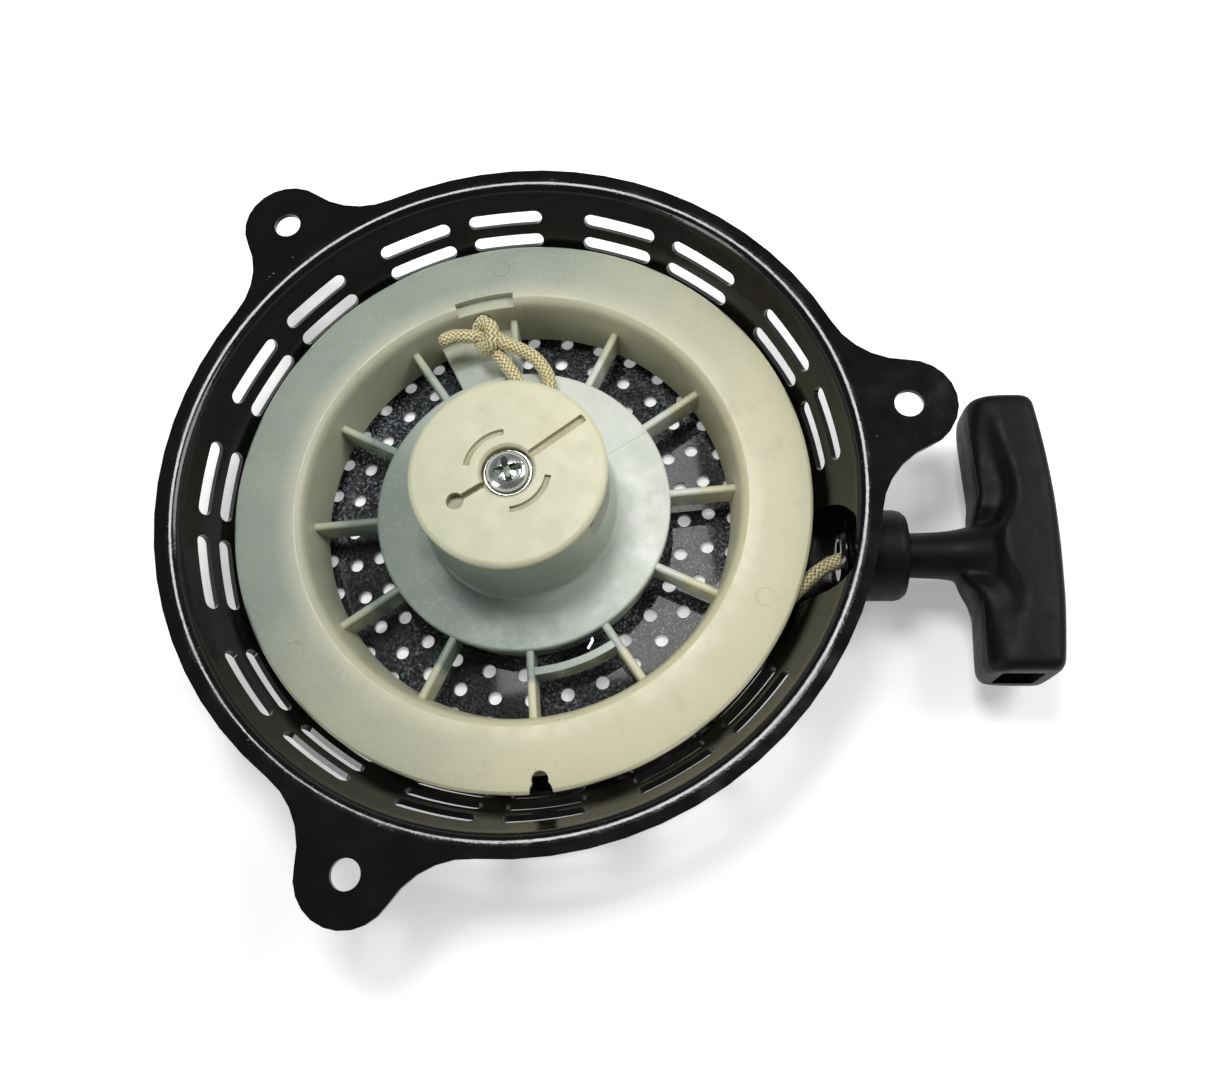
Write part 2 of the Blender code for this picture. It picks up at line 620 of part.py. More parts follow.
def make_pawl(name, turn):
    """A pawl that folds inside the drum and swings its tip out through a window."""
    heel = arc(PAWL_PIVOT_R, 0, 4.3, 200, 335, 6)
    tip = [(21.3, 3.6), (20.4, 9.8), (16.6, 16.2), (13.4, 19.0), (10.6, 17.6), (12.6, 12.6), (13.0, 6.0)]
    pawl = add(name, moved(outline_mesh(heel + tip, PAWL_BOTTOM, PAWL_TOP), about_z(PAWL_ANGLE + turn)),
               PAWL_STEEL, PARTS)
    nx, ny = polar(hypot(PAWL_PIVOT_R - 1.2, 8.6), PAWL_ANGLE + turn + atan2(8.6, PAWL_PIVOT_R - 1.2) * 180 / pi)
    union(pawl, cylinder_mesh(1.6, (nx, ny, PAWL_TOP - 1), (nx, ny, GUIDE_BOTTOM + 0.8), 12), "nub")
    px, py = polar(PAWL_PIVOT_R, PAWL_ANGLE + turn)
    cut(pawl, cylinder_mesh(PIVOT_R + GAP, (px, py, 28), (px, py, 40), 12), "pivot_bore")


# ---------------------------------------------------------------- handle

def grip_outline():
    """Plan of the grip: a bowed outer edge and a shoulder that runs into the stem."""
    top, bottom = GRIP_Y + GRIP_LENGTH / 2, GRIP_Y - GRIP_LENGTH / 2
    back = GRIP_X + GRIP_WIDTH / 2 - 1
    front = GRIP_X - GRIP_WIDTH / 2
    steps = 8
    outer = []
    for i in range(steps + 1):
        t = i / steps
        outer.append((back + GRIP_BOW * 4 * t * (1 - t) - GRIP_TAPER * t, bottom + (top - bottom) * t))
    inner = [(front - 0.4, top), (front + 0.6, PULL_Y + 24), (front + 0.4, PULL_Y + 15),
             (front - 1.0, PULL_Y + 10), (front - 5.0, PULL_Y + 7.2), (front - 5.0, PULL_Y - 7.2),
             (front - 1.0, PULL_Y - 10), (front + 0.4, PULL_Y - 15), (front + 0.4, PULL_Y - 22),
             (front - 0.4, bottom)]
    return outer + inner


def make_handle():
    z0, z1 = PULL_Z - GRIP_THICK / 2, PULL_Z + GRIP_THICK / 2
    grip = add("handle_grip", outline_mesh(grip_outline(), z0, z1), BLACK_PLASTIC, PARTS)
    rounding = grip.modifiers.new("rounding", "BEVEL")
    rounding.width = 3.4 * MM
    rounding.segments = 2
    rounding.limit_method = "ANGLE"
    rounding.angle_limit = radians(60)
    stem = [(0, 23.0), (STEM_R + 2.6, 23.0), (STEM_R + 1.2, 18.0), (STEM_R + 0.1, 13.0), (STEM_R - 0.3, 1.0),
            (STEM_R - 1.0, 0.0), (0, 0.0)]
    union(grip, moved(turned_mesh(stem, 24, closed=False), along_x(STEM_START, PULL_Y, PULL_Z)), "stem")
    cut(grip, cylinder_mesh(ROPE_R + 0.5, (95, PULL_Y, PULL_Z), (GRIP_X, PULL_Y, PULL_Z), 14), "rope_bore")
    cavity = rounded_rectangle(GRIP_X - 5.5, GRIP_X + 5.0, PULL_Z - 6.5, PULL_Z + 6.5, 1.2, 2)
    tunnel = outline_mesh([(x, y) for x, y in cavity], -60, 60)
    upright = Matrix(((1, 0, 0, 0), (0, 0, 1, 0), (0, 1, 0, 0), (0, 0, 0, 1)))
    tunnel.transform(upright)
    cut(grip, welded(tunnel), "hollow")
    start = GRIP_X - 5.5 + GAP
    washer = [(ROPE_R + 0.5, 0.0), (ROPE_R + 0.5, 1.2), (5.6, 1.2), (5.6, 0.0)]
    add("handle_washer", moved(turned_mesh(washer, 20), along_x(start, PULL_Y, PULL_Z)), STEEL, PARTS)
    knot_x = start + 1.2 + GAP + 4.3
    knot = add("handle_knot", ball_mesh(4.3, (knot_x, PULL_Y, PULL_Z)), ROPE, PARTS)
    inside = [(112.0 + GAP, PULL_Y, PULL_Z), (118.0, PULL_Y, PULL_Z), (knot_x, PULL_Y, PULL_Z)]
    union(knot, tube_mesh(inside, ROPE_R), "rope_inside")
    end = [(knot_x, PULL_Y, PULL_Z), (knot_x + 1, PULL_Y + 6, PULL_Z + 1), (knot_x, PULL_Y + 13, PULL_Z)]
    union(knot, tube_mesh(end, ROPE_R), "rope_end")


remove_everything()
PARTS = collection("recoil_starter")
CUTTERS = collection("cutters")
BLACK_STEEL = material("black_steel", (0.012, 0.012, 0.014), 0.25)
STEEL = material("steel", (0.55, 0.55, 0.56), 0.35, 1.0)
ZINC = material("zinc", (0.78, 0.80, 0.82), 0.18, 1.0)
SPRING_STEEL = material("spring_steel", (0.45, 0.48, 0.52), 0.3, 1.0)
PAWL_STEEL = material("pawl_steel", (0.40, 0.40, 0.40), 0.4, 1.0)
NYLON = material("nylon", (0.70, 0.68, 0.50), 0.4)
NYLON_GUIDE = material("nylon_guide", (0.78, 0.76, 0.56), 0.45)
ROPE = material("rope", (0.80, 0.70, 0.42), 0.8)
BLACK_PLASTIC = material("black_plastic", (0.02, 0.02, 0.018), 0.45)

make_housing()
make_spindle()
make_centre_screw()
make_screw_washer()
make_thrust_washer()
make_rope_guide()
make_rope_eyelet()
make_rope()
make_pulley_rim()
make_pulley_spokes()
make_pulley_hub()
make_pulley_drum()
make_recoil_spring()
make_spring_cover()
make_ratchet_guide()
make_brake_spring()
make_pawl("pawl_1", 0)
make_pawl("pawl_2", 180)
make_handle()
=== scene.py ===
"""Looks of the recoil starter: finer shapes, materials, floor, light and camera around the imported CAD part.

Shapes are in millimetres in the row frame: the origin is the centre of the dome's flat outer face, +Z is the
spindle axis towards the open side, and +X is the direction in which the rope is pulled. Materials, the floor,
the lights and the camera are in metres in the same frame.
"""

import json
from math import acos, atan2, cos, floor, hypot, pi, radians, sin, sqrt

import bmesh
import bpy
from mathutils import Matrix, Vector


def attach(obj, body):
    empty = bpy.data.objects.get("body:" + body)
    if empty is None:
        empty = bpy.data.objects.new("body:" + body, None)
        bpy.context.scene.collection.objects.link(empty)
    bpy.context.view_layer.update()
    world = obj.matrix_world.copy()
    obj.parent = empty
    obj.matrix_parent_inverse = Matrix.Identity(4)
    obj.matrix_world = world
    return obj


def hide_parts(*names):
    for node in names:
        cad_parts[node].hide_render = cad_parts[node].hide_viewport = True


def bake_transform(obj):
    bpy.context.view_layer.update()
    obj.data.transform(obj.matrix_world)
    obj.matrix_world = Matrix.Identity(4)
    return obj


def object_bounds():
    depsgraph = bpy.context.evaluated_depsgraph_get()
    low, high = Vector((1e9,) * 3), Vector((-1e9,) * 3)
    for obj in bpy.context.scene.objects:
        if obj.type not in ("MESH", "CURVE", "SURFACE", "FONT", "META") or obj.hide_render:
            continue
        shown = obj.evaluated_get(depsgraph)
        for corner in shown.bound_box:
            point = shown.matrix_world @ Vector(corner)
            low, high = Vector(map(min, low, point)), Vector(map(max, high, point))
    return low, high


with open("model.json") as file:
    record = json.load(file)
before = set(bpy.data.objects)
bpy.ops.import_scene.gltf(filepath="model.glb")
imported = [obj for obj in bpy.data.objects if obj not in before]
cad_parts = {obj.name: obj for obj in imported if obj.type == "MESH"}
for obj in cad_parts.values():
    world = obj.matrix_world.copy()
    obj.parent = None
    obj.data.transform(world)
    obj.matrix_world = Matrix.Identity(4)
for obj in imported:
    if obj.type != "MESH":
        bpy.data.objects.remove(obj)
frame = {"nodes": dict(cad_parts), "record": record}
CAD_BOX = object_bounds()

MM = 0.001
GAP = 0.3                      # clearance between neighbouring pieces
SMOOTH_STEPS = 180             # facets round the large turned shapes

# Housing: a pressed steel bowl with a flat flange and three ears
SHEET = 1.5
FLANGE_Z = 36.0                # height of the engine face above the dome's outer face
FLANGE_R = 95.0
WALL_TOP_R, WALL_TOP_Z = 88.0, 33.4        # inner surface of the conical wall, top
WALL_FOOT_R, WALL_FOOT_Z = 71.4, 2.6       # and foot
FLOOR_R = 69.0
EAR_PITCH_R = 104.7
EAR_R = 12.5
EAR_FILLET_R = 22.0
EAR_HOLE_R = 3.75
EAR_ANGLES = (11.2, 131.2, 251.2)
SLOT_ROWS = 3
SLOT_PITCH = 7.0               # between rows, along the wall
SLOT_WIDTH = 4.0
SLOT_SPAN = 14.4               # degrees, end to end
SLOT_FIRST_Z = 27.6
SLOT_PAIRS = 8
SLOT_PAIR_START, SLOT_PAIR_STEP, SLOT_PAIR_GAP = 12.8, 41.1, 18.3
VENT_RINGS = ((44.5, 28, 0.7), (51.5, 32, 3.1), (58.5, 36, 1.3))   # radius, number, first angle
VENT_HOLE_R = 1.9
VENT_TURN = 0.13               # degrees that keep the holes' facets off the bowl's own

# Rope run
ROPE_R = 2.0
ROPE_STEP = 0.28               # length of one ring of the braid's mesh
ROPE_SIDES = 40
BRAID_STRANDS, BRAID_PITCH = 8, 11.5
WOUND_R, WOUND_Z, WOUND_ROPE_R = 64.4, 17.5, 1.95
PULL_Y, PULL_Z = -15.0, 17.5   # line of the pulled rope
POCKET_X = 89.5                # outer face of the rope pocket
POCKET_HALF = 14.5
POCKET_CORNER = 10.5
POCKET_START = 55.0            # where its block starts, inside the bowl
POCKET_Z = 4.0
GUIDE_HOLE_R = 6.3             # hole through the pocket for the rope guide
LEAD_R = 69.4                  # radius at which the rope leaves the pulley
GUIDE_END = 102.6              # outer end of the rope guide's collar
LEAD_END = 98.0                # where the fixed rope ends inside the guide
PAID_OUT_R = 1.9               # radius of the rope that stretches with the handle
PAID_OUT_GAP = 0.3

# Pulley
SPOKES = 12
SPOKE_START = 5.5
SPOKE_THICK = 2.2
PULLEY_TOP = 22.8
PULLEY_R = 79.0
RING_TOP_R, RING_FOOT_R = 60.0, 57.5
GROOVE_ROOT_R = 62.0
HUB_DISC_R, HUB_DISC_Z = 41.0, 15.5
HUB_DISC_THICK = 1.9
DRUM_R, DRUM_WALL = 25.5, 2.0
DRUM_TOP = 38.8
SLEEVE_R, BORE_R = 10.0, 6.8
NICK_ANGLE = -83.0             # where the ring's edge is notched
MARK_R, MARK_ANGLES, MARK_DEPTH = 71.5, (97, 217, 337), 0.18       # ejector-pin marks
WELD_ANGLE = 33.0              # moulding line on the hub's disc
KNOT_ANGLE, KNOT_HOLE_Z = 104.0, 17.6

# Ratchet guide
GUIDE_R, GUIDE_BOTTOM, GUIDE_TOP = 25.8, 39.4, 42.0
GROOVE_ANGLE, KEYHOLE_ANGLE = 37, 213
KEYHOLE_R, KEYHOLE_DEPTH = 15.3, 2.4
ARC_STARTS, ARC_SPAN = (97, 277), 76       # degrees, the two arc-shaped grooves

# Pawls
PAWL_PIVOT_R = 16.5
PAWL_ANGLE = -32.0             # where the first pawl's pivot stands
PAWL_BOTTOM, PAWL_TOP = 31.0, 36.0
PAWL_SWING = -40.0             # degrees, from folded to fully out
GUIDE_SWING = -30.0
PIVOT_R, PAWL_POST_R = 2.2, 4.2
WINDOW = (-1.0, 62.0)          # degrees from the pawl's pivot

# Handle
STEM_R = 6.2
STEM_START = 101.0
GRIP_X = 129.0                 # middle of the grip
GRIP_Y = -10.5
GRIP_LENGTH = 74.0
GRIP_WIDTH = 20.2
GRIP_TAPER = 1.6               # how much narrower its upper end is
GRIP_THICK = 24.0
GRIP_BOW = 3.0
GRIP_RINGS = 90
GRIP_VOXEL = 0.5

# Where the finishes change, as (from, to) in metres: R from the spindle's axis, Z from the dome's outer face
FLOOR_EDGE_R, FLOOR_EDGE_Z = (0.0685, 0.0665), (0.0030, 0.0020)
RIM_WEAR_R = ((0.0893, 0.0905), (0.0925, 0.0912))
FLANGE_WEAR_R = ((0.0944, 0.0948), (0.0954, 0.0952))
# HUB_EDGE_R bounds the hub's painted shadow
HUB_EDGE_R = (0.0500, 0.0485)
RING_INNER_R = ((0.068, 0.061), (0.050, 0.056))
# CAP_EDGE_R and the depths beside it bound the painted shade in the cap's cuts
CAP_EDGE_R, CAP_SHADE_DEPTH = (0.0245, 0.0240), (0.0003, 0.0011)
# RECESS_R and RECESS_Z bound the painted shade in the screw's cross
RECESS_R, RECESS_Z = (0.0043, 0.0041), (0.04285, 0.04265)
PARTING_Z = 0.0242

# Colours, linear
ENAMEL, DUSTY_ENAMEL, FLOOR_ENAMEL = (0.0022, 0.0022, 0.0024), (0.010, 0.010, 0.010), (0.006, 0.007, 0.009)
# the first colour here is a painted highlight: blue-grey sparkle on the crinkled floor
PAINTED_GLINT, BARE_STEEL = (0.190, 0.215, 0.240), (0.34, 0.34, 0.32)
# the first colour here is painted shade for the cuts in the cap
RECESS_SHADE_NYLON, STAINED_NYLON = (0.27, 0.25, 0.12), (0.25, 0.25, 0.17)
FROSTED_NYLON, SPECK = (0.76, 0.75, 0.62), (0.10, 0.09, 0.05)
# the first colour here is painted shade between the braid's strands
ROPE_GAP_SHADE, ROPE_TOP = (0.13, 0.09, 0.022), (0.84, 0.76, 0.44)
ROPE_FIBRE, ROPE_GRIME = (0.88, 0.81, 0.55), (0.50, 0.41, 0.20)
BLACK_LOW, BLACK_HIGH = (0.0024, 0.0022, 0.0016), (0.0060, 0.0054, 0.0038)
SCUFF, HAIRLINE = (0.026, 0.023, 0.017), (0.055, 0.050, 0.040)

# Floor, light and camera, in metres and watts
FLOOR_SIZE, FLOOR_DROP, FLOOR_GLOW = 6.0, 0.0005, 0.30
LIGHTS = (("ceiling", (-0.04, 0.18, 0.62), (-0.02, 0.05, 0.02), (0.20, 0.20), 2.1),
          ("key", (0.62, 0.26, 0.70), (0, 0, 0.02), (0.45, 0.45), 4.2),
          ("side", (-0.85, -0.55, 0.60), (0, 0, 0.02), (0.30, 0.60), 3.0))     # place, target, size, power
HORIZON, OVERHEAD = (0.08, 0.80), (0.42, 0.12)     # a direction's height, and the room's brightness there
CAMERA_PLACE, CAMERA_TARGET = (0.0488, -0.1050, 0.2983), (0.0240, -0.0113, 0.0180)
CAMERA_LENS, CAMERA_ROLL = 32.6, -14.1


# ---------------------------------------------------------------- shapes

def linked(name, data):
    """A new object in the scene."""
    obj = bpy.data.objects.new(name, data)
    bpy.context.scene.collection.objects.link(obj)
    return obj


def kept_mesh(shape, name):
    """A bmesh as a mesh; the bmesh is freed."""
    mesh = bpy.data.meshes.new(name)
    shape.to_mesh(mesh)
    shape.free()
    return mesh


def evaluated_mesh(obj):
    """The object's mesh with its modifiers applied; the object itself is removed."""
    graph = bpy.context.evaluated_depsgraph_get()
    mesh = bpy.data.meshes.new_from_object(obj.evaluated_get(graph))
    bpy.data.objects.remove(obj)
    return mesh


def welded(mesh):
    """mesh with doubled vertices merged and its faces turned outwards."""
    shape = bmesh.new()
    shape.from_mesh(mesh)
    bmesh.ops.remove_doubles(shape, verts=shape.verts, dist=1e-6)
    bmesh.ops.recalc_face_normals(shape, faces=shape.faces)
    shape.to_mesh(mesh)
    shape.free()
    return mesh


def turned_mesh(profile, steps=48, closed=True):
    """A profile of (radius, height) points, clockwise with the radius to the right, turned about Z."""
    mesh = bpy.data.meshes.new("profile")
    points = [(r * MM, 0.0, z * MM) for r, z in profile]
    edges = [(i, i + 1) for i in range(len(points) - 1)]
    if closed:
        edges.append((len(points) - 1, 0))
    mesh.from_pydata(points, edges, [])
    obj = linked("turning", mesh)
    screw = obj.modifiers.new("turn", "SCREW")
    screw.steps = steps
    screw.render_steps = steps
    screw.use_merge_vertices = True
    screw.merge_threshold = 1e-5
    return welded(evaluated_mesh(obj))


def outline_mesh(points, z0, z1):
    """A flat outline, filled and extruded from height z0 to z1."""
    curve = bpy.data.curves.new("outline", "CURVE")
    curve.dimensions = "2D"
    curve.fill_mode = "BOTH"
    curve.extrude = (z1 - z0) / 2 * MM
    spline = curve.splines.new("POLY")
    spline.points.add(len(points) - 1)
    for slot, (x, y) in zip(spline.points, points):
        slot.co = (x * MM, y * MM, 0.0, 1.0)
    spline.use_cyclic_u = True
    obj = linked("outline", curve)
    mesh = evaluated_mesh(obj)
    mesh.transform(Matrix.Translation((0, 0, (z0 + z1) / 2 * MM)))
    return welded(mesh)


def cylinder_mesh(radius, start, end, sides=16):
    """A cylinder of one radius between two points."""
    a, b = Vector(start) * MM, Vector(end) * MM
    shape = bmesh.new()
    bmesh.ops.create_cone(shape, cap_ends=True, segments=sides, radius1=radius * MM,
                          radius2=radius * MM, depth=(b - a).length)
    turn = (b - a).to_track_quat("Z", "Y").to_matrix().to_4x4()
    bmesh.ops.transform(shape, matrix=Matrix.Translation((a + b) / 2) @ turn, verts=shape.verts)
    return kept_mesh(shape, "cylinder")


def box_mesh(low, high):
    """A box between two corners."""
    shape = bmesh.new()
    bmesh.ops.create_cube(shape, size=1.0)
    size = [(b - a) * MM for a, b in zip(low, high)]
    middle = [(a + b) / 2 * MM for a, b in zip(low, high)]
    bmesh.ops.scale(shape, vec=size, verts=shape.verts)
    bmesh.ops.translate(shape, vec=middle, verts=shape.verts)
    return kept_mesh(shape, "box")


def moved(mesh, matrix):
    mesh.transform(matrix)
    return mesh


def about_z(degrees):
    return Matrix.Rotation(radians(degrees), 4, "Z")


def along_x(x, y, z):
    """Takes a shape turned about Z to one about a line along +X that starts at x, y, z."""
    return Matrix.Translation((x * MM, y * MM, z * MM)) @ Matrix.Rotation(pi / 2, 4, "Y")


def joined(meshes):
    """Several separate shapes as one mesh."""
    shape = bmesh.new()
    for mesh in meshes:
        shape.from_mesh(mesh)
    return kept_mesh(shape, "joined")


def polar(radius, degrees):
    return radius * cos(radians(degrees)), radius * sin(radians(degrees))


def arc(cx, cy, radius, start, end, count):
    """Points on an arc, angles in degrees."""
    steps = [start + (end - start) * i / count for i in range(count + 1)]
    return [(cx + radius * cos(radians(a)), cy + radius * sin(radians(a))) for a in steps]


def rounded_rectangle(x0, x1, y0, y1, corner, count=4):
    points = arc(x1 - corner, y1 - corner, corner, 0, 90, count)
    points += arc(x0 + corner, y1 - corner, corner, 90, 180, count)
    points += arc(x0 + corner, y0 + corner, corner, 180, 270, count)
    points += arc(x1 - corner, y0 + corner, corner, 270, 360, count)
    return points


def stood_up(mesh):
    """Turns a shape extruded along Z to one extruded along Y, its outline in X and Z."""
    return moved(mesh, Matrix(((1, 0, 0, 0), (0, 0, -1, 0), (0, 1, 0, 0), (0, 0, 0, 1))))


def swept_mesh(shape, rings, name):
    """Closes a run of rings of vertices into one skin with flat ends."""
    sides = len(rings[0])
    for a, b in zip(rings, rings[1:]):
        for k in range(sides):
            n = (k + 1) % sides
            shape.faces.new((a[k], a[n], b[n], b[k]))
    shape.faces.new(list(reversed(rings[0])))
    shape.faces.new(rings[-1])
    bmesh.ops.recalc_face_normals(shape, faces=shape.faces)
    return kept_mesh(shape, name)


def wall_radius(z):
    """Inner radius of the conical wall at height z."""
    slope = (WALL_TOP_R - WALL_FOOT_R) / (WALL_TOP_Z - WALL_FOOT_Z)
    return WALL_FOOT_R + (z - WALL_FOOT_Z) * slope


def flange_outline():
    """The rim's circle with three ears, each run into it through two hollow fillets."""
    to_rim, to_ear = FLANGE_R + EAR_FILLET_R, EAR_R + EAR_FILLET_R
    turn = acos((to_rim**2 + EAR_PITCH_R**2 - to_ear**2) / (2 * to_rim * EAR_PITCH_R))
    fx, fy = to_rim * cos(turn), to_rim * sin(turn)
    to_centre = atan2(-fy, EAR_PITCH_R - fx)
    rim_side, ear_side = 180 + turn * 180 / pi, to_centre * 180 / pi + 360
    half = arc(fx, fy, EAR_FILLET_R, rim_side, ear_side, 5)
    end_angle = atan2(fy, fx - EAR_PITCH_R) * 180 / pi
    tip = arc(EAR_PITCH_R, 0, EAR_R, end_angle, -end_angle, 10)[1:-1]
    other = [(x, -y) for x, y in reversed(half)]
    rim = arc(0, 0, FLANGE_R, -turn * 180 / pi, turn * 180 / pi - 120, 16)[1:-1]
    outline = []
    for angle in reversed(EAR_ANGLES):
        c, s = cos(radians(angle)), sin(radians(angle))
        outline += [(x * c - y * s, x * s + y * c) for x, y in half + tip + other + rim]
    return outline


def slot_cutter(z, degrees):
    """A round-ended bar through the conical wall, bent along it."""
    radius = wall_radius(z)
    lean = atan2(WALL_TOP_R - WALL_FOOT_R, WALL_TOP_Z - WALL_FOOT_Z)
    half_angle = radians(SLOT_SPAN) / 2
    half_width = SLOT_WIDTH / 2
    straight = half_angle * radius - half_width
    flat = arc(straight, 0, half_width, 90, -90, 10) + arc(-straight, 0, half_width, 270, 90, 10)
    shape = bmesh.new()
    rings = []
    for depth in (-4.0, 5.0):
        ring = []
        for along, across in reversed(flat):
            r = radius + depth * cos(lean) + across * sin(lean)
            height = z - depth * sin(lean) + across * cos(lean)
            a = radians(degrees) + along / radius
            ring.append(shape.verts.new((r * cos(a) * MM, r * sin(a) * MM, height * MM)))
        rings.append(ring)
    return swept_mesh(shape, rings, "slot")


def tangent_angle():
    """Angle of the point where the rope to the eyelet leaves the winding."""
    ex, ey = POCKET_X - 6.0, PULL_Y - 1.0
    return atan2(ey, ex) - acos(LEAD_R / hypot(ex, ey))


def lead_route():
    """The rope from the pulley, through the eyelet and guide, into the handle's stem."""
    a = tangent_angle()
    start = Vector((LEAD_R * cos(a), LEAD_R * sin(a), PULL_Z))
    away = Vector((-sin(a), cos(a), 0))
    corner = start + away * ((PULL_Y - start.y) / away.y)
    reach = 9.0
    points = [start + away * step for step in (0, 10, 20, 30)]
    first, last = corner - away * reach, corner + Vector((reach, 0, 0))
    for i in range(7):
        t = i / 6
        points.append(first * (1 - t) ** 2 + corner * 2 * t * (1 - t) + last * t * t)
    points.append(Vector((112.0, PULL_Y, PULL_Z)))
    return points


def pawl_nub(share):
    """Where the pawl's cam nub is in the guide's frame, at a share of the full swing."""
    swing = radians(PAWL_SWING * share)
    px, py = PAWL_PIVOT_R, 0.0
    vx, vy = -1.2, 8.6
    x = px + vx * cos(swing) - vy * sin(swing)
    y = py + vx * sin(swing) + vy * cos(swing)
    back = radians(-GUIDE_SWING * share)
    return x * cos(back) - y * sin(back), x * sin(back) + y * cos(back)


def cam_track():
    """Outline of the groove that one nub runs in, on the underside of the guide."""
    half = 2.3
    path = [Vector(pawl_nub(share)) for share in (0.0, 0.25, 0.5, 0.75, 1.0)]
    path.insert(0, path[0] + (path[0] - path[1]).normalized() * half)
    path.append(path[-1] + (path[-1] - path[-2]).normalized() * half)
    left, right = [], []
    for i, point in enumerate(path):
        heading = (path[min(i + 1, len(path) - 1)] - path[max(i - 1, 0)]).normalized()
        side = Vector((-heading.y, heading.x)) * half
        left.append(tuple(point + side))
        right.append(tuple(point - side))
    return left + list(reversed(right))


# ---------------------------------------------------------------- materials

class Nodes:
    """Short names for the shader nodes of one material."""

    def __init__(self, name):
        """A new material whose textures are placed by the mesh's own coordinates."""
        self.material = bpy.data.materials.new(name)
        self.material.use_nodes = True
        self.tree = self.material.node_tree
        self.shader = self.tree.nodes["Principled BSDF"]
        self.place = self.tree.nodes.new("ShaderNodeTexCoord").outputs["Object"]

    def node(self, kind, inputs=(), **settings):
        """One shader node with its settings and inputs filled in."""
        made = self.tree.nodes.new(kind)
        for key, value in settings.items():
            setattr(made, key, value)
        for key, value in dict(inputs).items():
            self.feed(made.inputs[key], value)
        return made

    def feed(self, socket, value):
        """Links a socket to the input, or sets the input to a value."""
        if isinstance(value, bpy.types.NodeSocket):
            self.tree.links.new(value, socket)
        else:
            socket.default_value = value

    def set(self, **sockets):
        """Fills inputs of the Principled shader, named with underscores for spaces."""
        for key, value in sockets.items():
            self.feed(self.shader.inputs[key.replace("_", " ")], value)

    def math(self, operation, a, b=0.0, clamp=False):
        made = self.node("ShaderNodeMath", {0: a, 1: b}, operation=operation, use_clamp=clamp)
        return made.outputs[0]

    def times(self, a, b, clamp=False):
        return self.math("MULTIPLY", a, b, clamp)

    def plus(self, a, b, clamp=False):
        return self.math("ADD", a, b, clamp)

    def noise(self, scale, detail=3.0, roughness=0.55, place=None):
        made = self.node("ShaderNodeTexNoise", {"Vector": place or self.place, "Scale": scale,
                                                "Detail": detail, "Roughness": roughness})
        return made.outputs["Fac"]

    def cells(self, scale, feature="F1", place=None):
        made = self.node("ShaderNodeTexVoronoi", {"Vector": place or self.place, "Scale": scale},
                         feature=feature)
        return made.outputs["Distance"]

    def stretched(self, scale):
        made = self.node("ShaderNodeMapping", {"Vector": self.place, "Scale": scale})
        return made.outputs["Vector"]

    def ramp(self, value, low, high, start=0.0, end=1.0):
        """value taken from low..high to start..end, and held there outside it."""
        made = self.node("ShaderNodeMapRange", {"Value": value, "From Min": low, "From Max": high,
                                                "To Min": start, "To Max": end})
        return made.outputs["Result"]

    def band(self, value, rise, fall):
        """1 between two edges, each given as the (from, to) over which it fades in."""
        return self.times(self.ramp(value, *rise), self.ramp(value, *fall))

    def mix(self, share, a, b):
        made = self.node("ShaderNodeMix", data_type="RGBA")
        self.feed(made.inputs["Factor"], share)
        self.feed(made.inputs["A"], (*a, 1.0) if isinstance(a, tuple) else a)
        self.feed(made.inputs["B"], (*b, 1.0) if isinstance(b, tuple) else b)
        return made.outputs["Result"]

    def axis(self, name):
        made = self.node("ShaderNodeSeparateXYZ", {"Vector": self.place})
        return made.outputs[name]

    def radius(self):
        """Distance from the spindle's axis, in metres."""
        x, y = self.axis("X"), self.axis("Y")
        return self.math("SQRT", self.plus(self.times(x, x), self.times(y, y)))

    def bumps(self, *layers):
        """Each layer is (height, strength, distance in mm)."""
        normal = None
        for height, strength, distance in layers:
            made = self.node("ShaderNodeBump", {"Height": height, "Strength": strength,
                                                "Distance": distance * MM})
            if normal:
                self.feed(made.inputs["Normal"], normal)
            normal = made.outputs["Normal"]
        self.set(Normal=normal)


def gloss_paint():
    """Black enamel: glossy with a little orange peel, crinkled on the floor with painted highlights in
    patches, worn where the rim bends.
    """
    m = Nodes("gloss_black_paint")
    radius, height = m.radius(), m.axis("Z")
    floor_share = m.times(m.ramp(radius, *FLOOR_EDGE_R), m.ramp(height, *FLOOR_EDGE_Z))
    crinkle = m.plus(m.noise(1250, 3, 0.6), m.cells(1050, "SMOOTH_F1"))
    peel = m.plus(m.noise(300, 2, 0.4), m.times(m.noise(1300, 2, 0.5), 0.35))
    rim = m.band(radius, *RIM_WEAR_R)
    edge = m.band(radius, *FLANGE_WEAR_R)
    patches = m.ramp(m.noise(55, 2, 0.5), 0.50, 0.62)
    chips = m.times(m.ramp(m.noise(1300, 3, 0.7), 0.655, 0.70), patches)
    worn = m.times(m.math("MAXIMUM", rim, edge), chips, clamp=True)
    dust = m.times(m.ramp(m.noise(70, 5, 0.65), 0.45, 0.8), 0.20)
    black = m.mix(dust, ENAMEL, DUSTY_ENAMEL)
    black = m.mix(floor_share, black, FLOOR_ENAMEL)
    # painted highlight: blue-grey sparkle painted into the floor's crinkle, in noise patches
    painted_glint_share = m.times(m.ramp(m.noise(1150, 3, 0.65), 0.52, 0.62), m.ramp(m.noise(22, 2), 0.42, 0.60))
    black = m.mix(m.times(painted_glint_share, floor_share), black, PAINTED_GLINT)
    m.set(Base_Color=m.mix(worn, black, BARE_STEEL))
    rough = m.plus(m.ramp(m.noise(120, 4), 0.3, 0.7, 0.08, 0.22), m.times(floor_share, 0.05))
    m.set(Roughness=m.plus(rough, m.times(worn, 0.3), clamp=True))
    m.set(Coat_Weight=0.2, Coat_Roughness=0.05, Specular_IOR_Level=0.42)
    crinkled = m.times(crinkle, floor_share)
    m.bumps((crinkled, 1.0, 0.60), (peel, 0.60, 0.11), (worn, 0.3, -0.08))
    return m.material


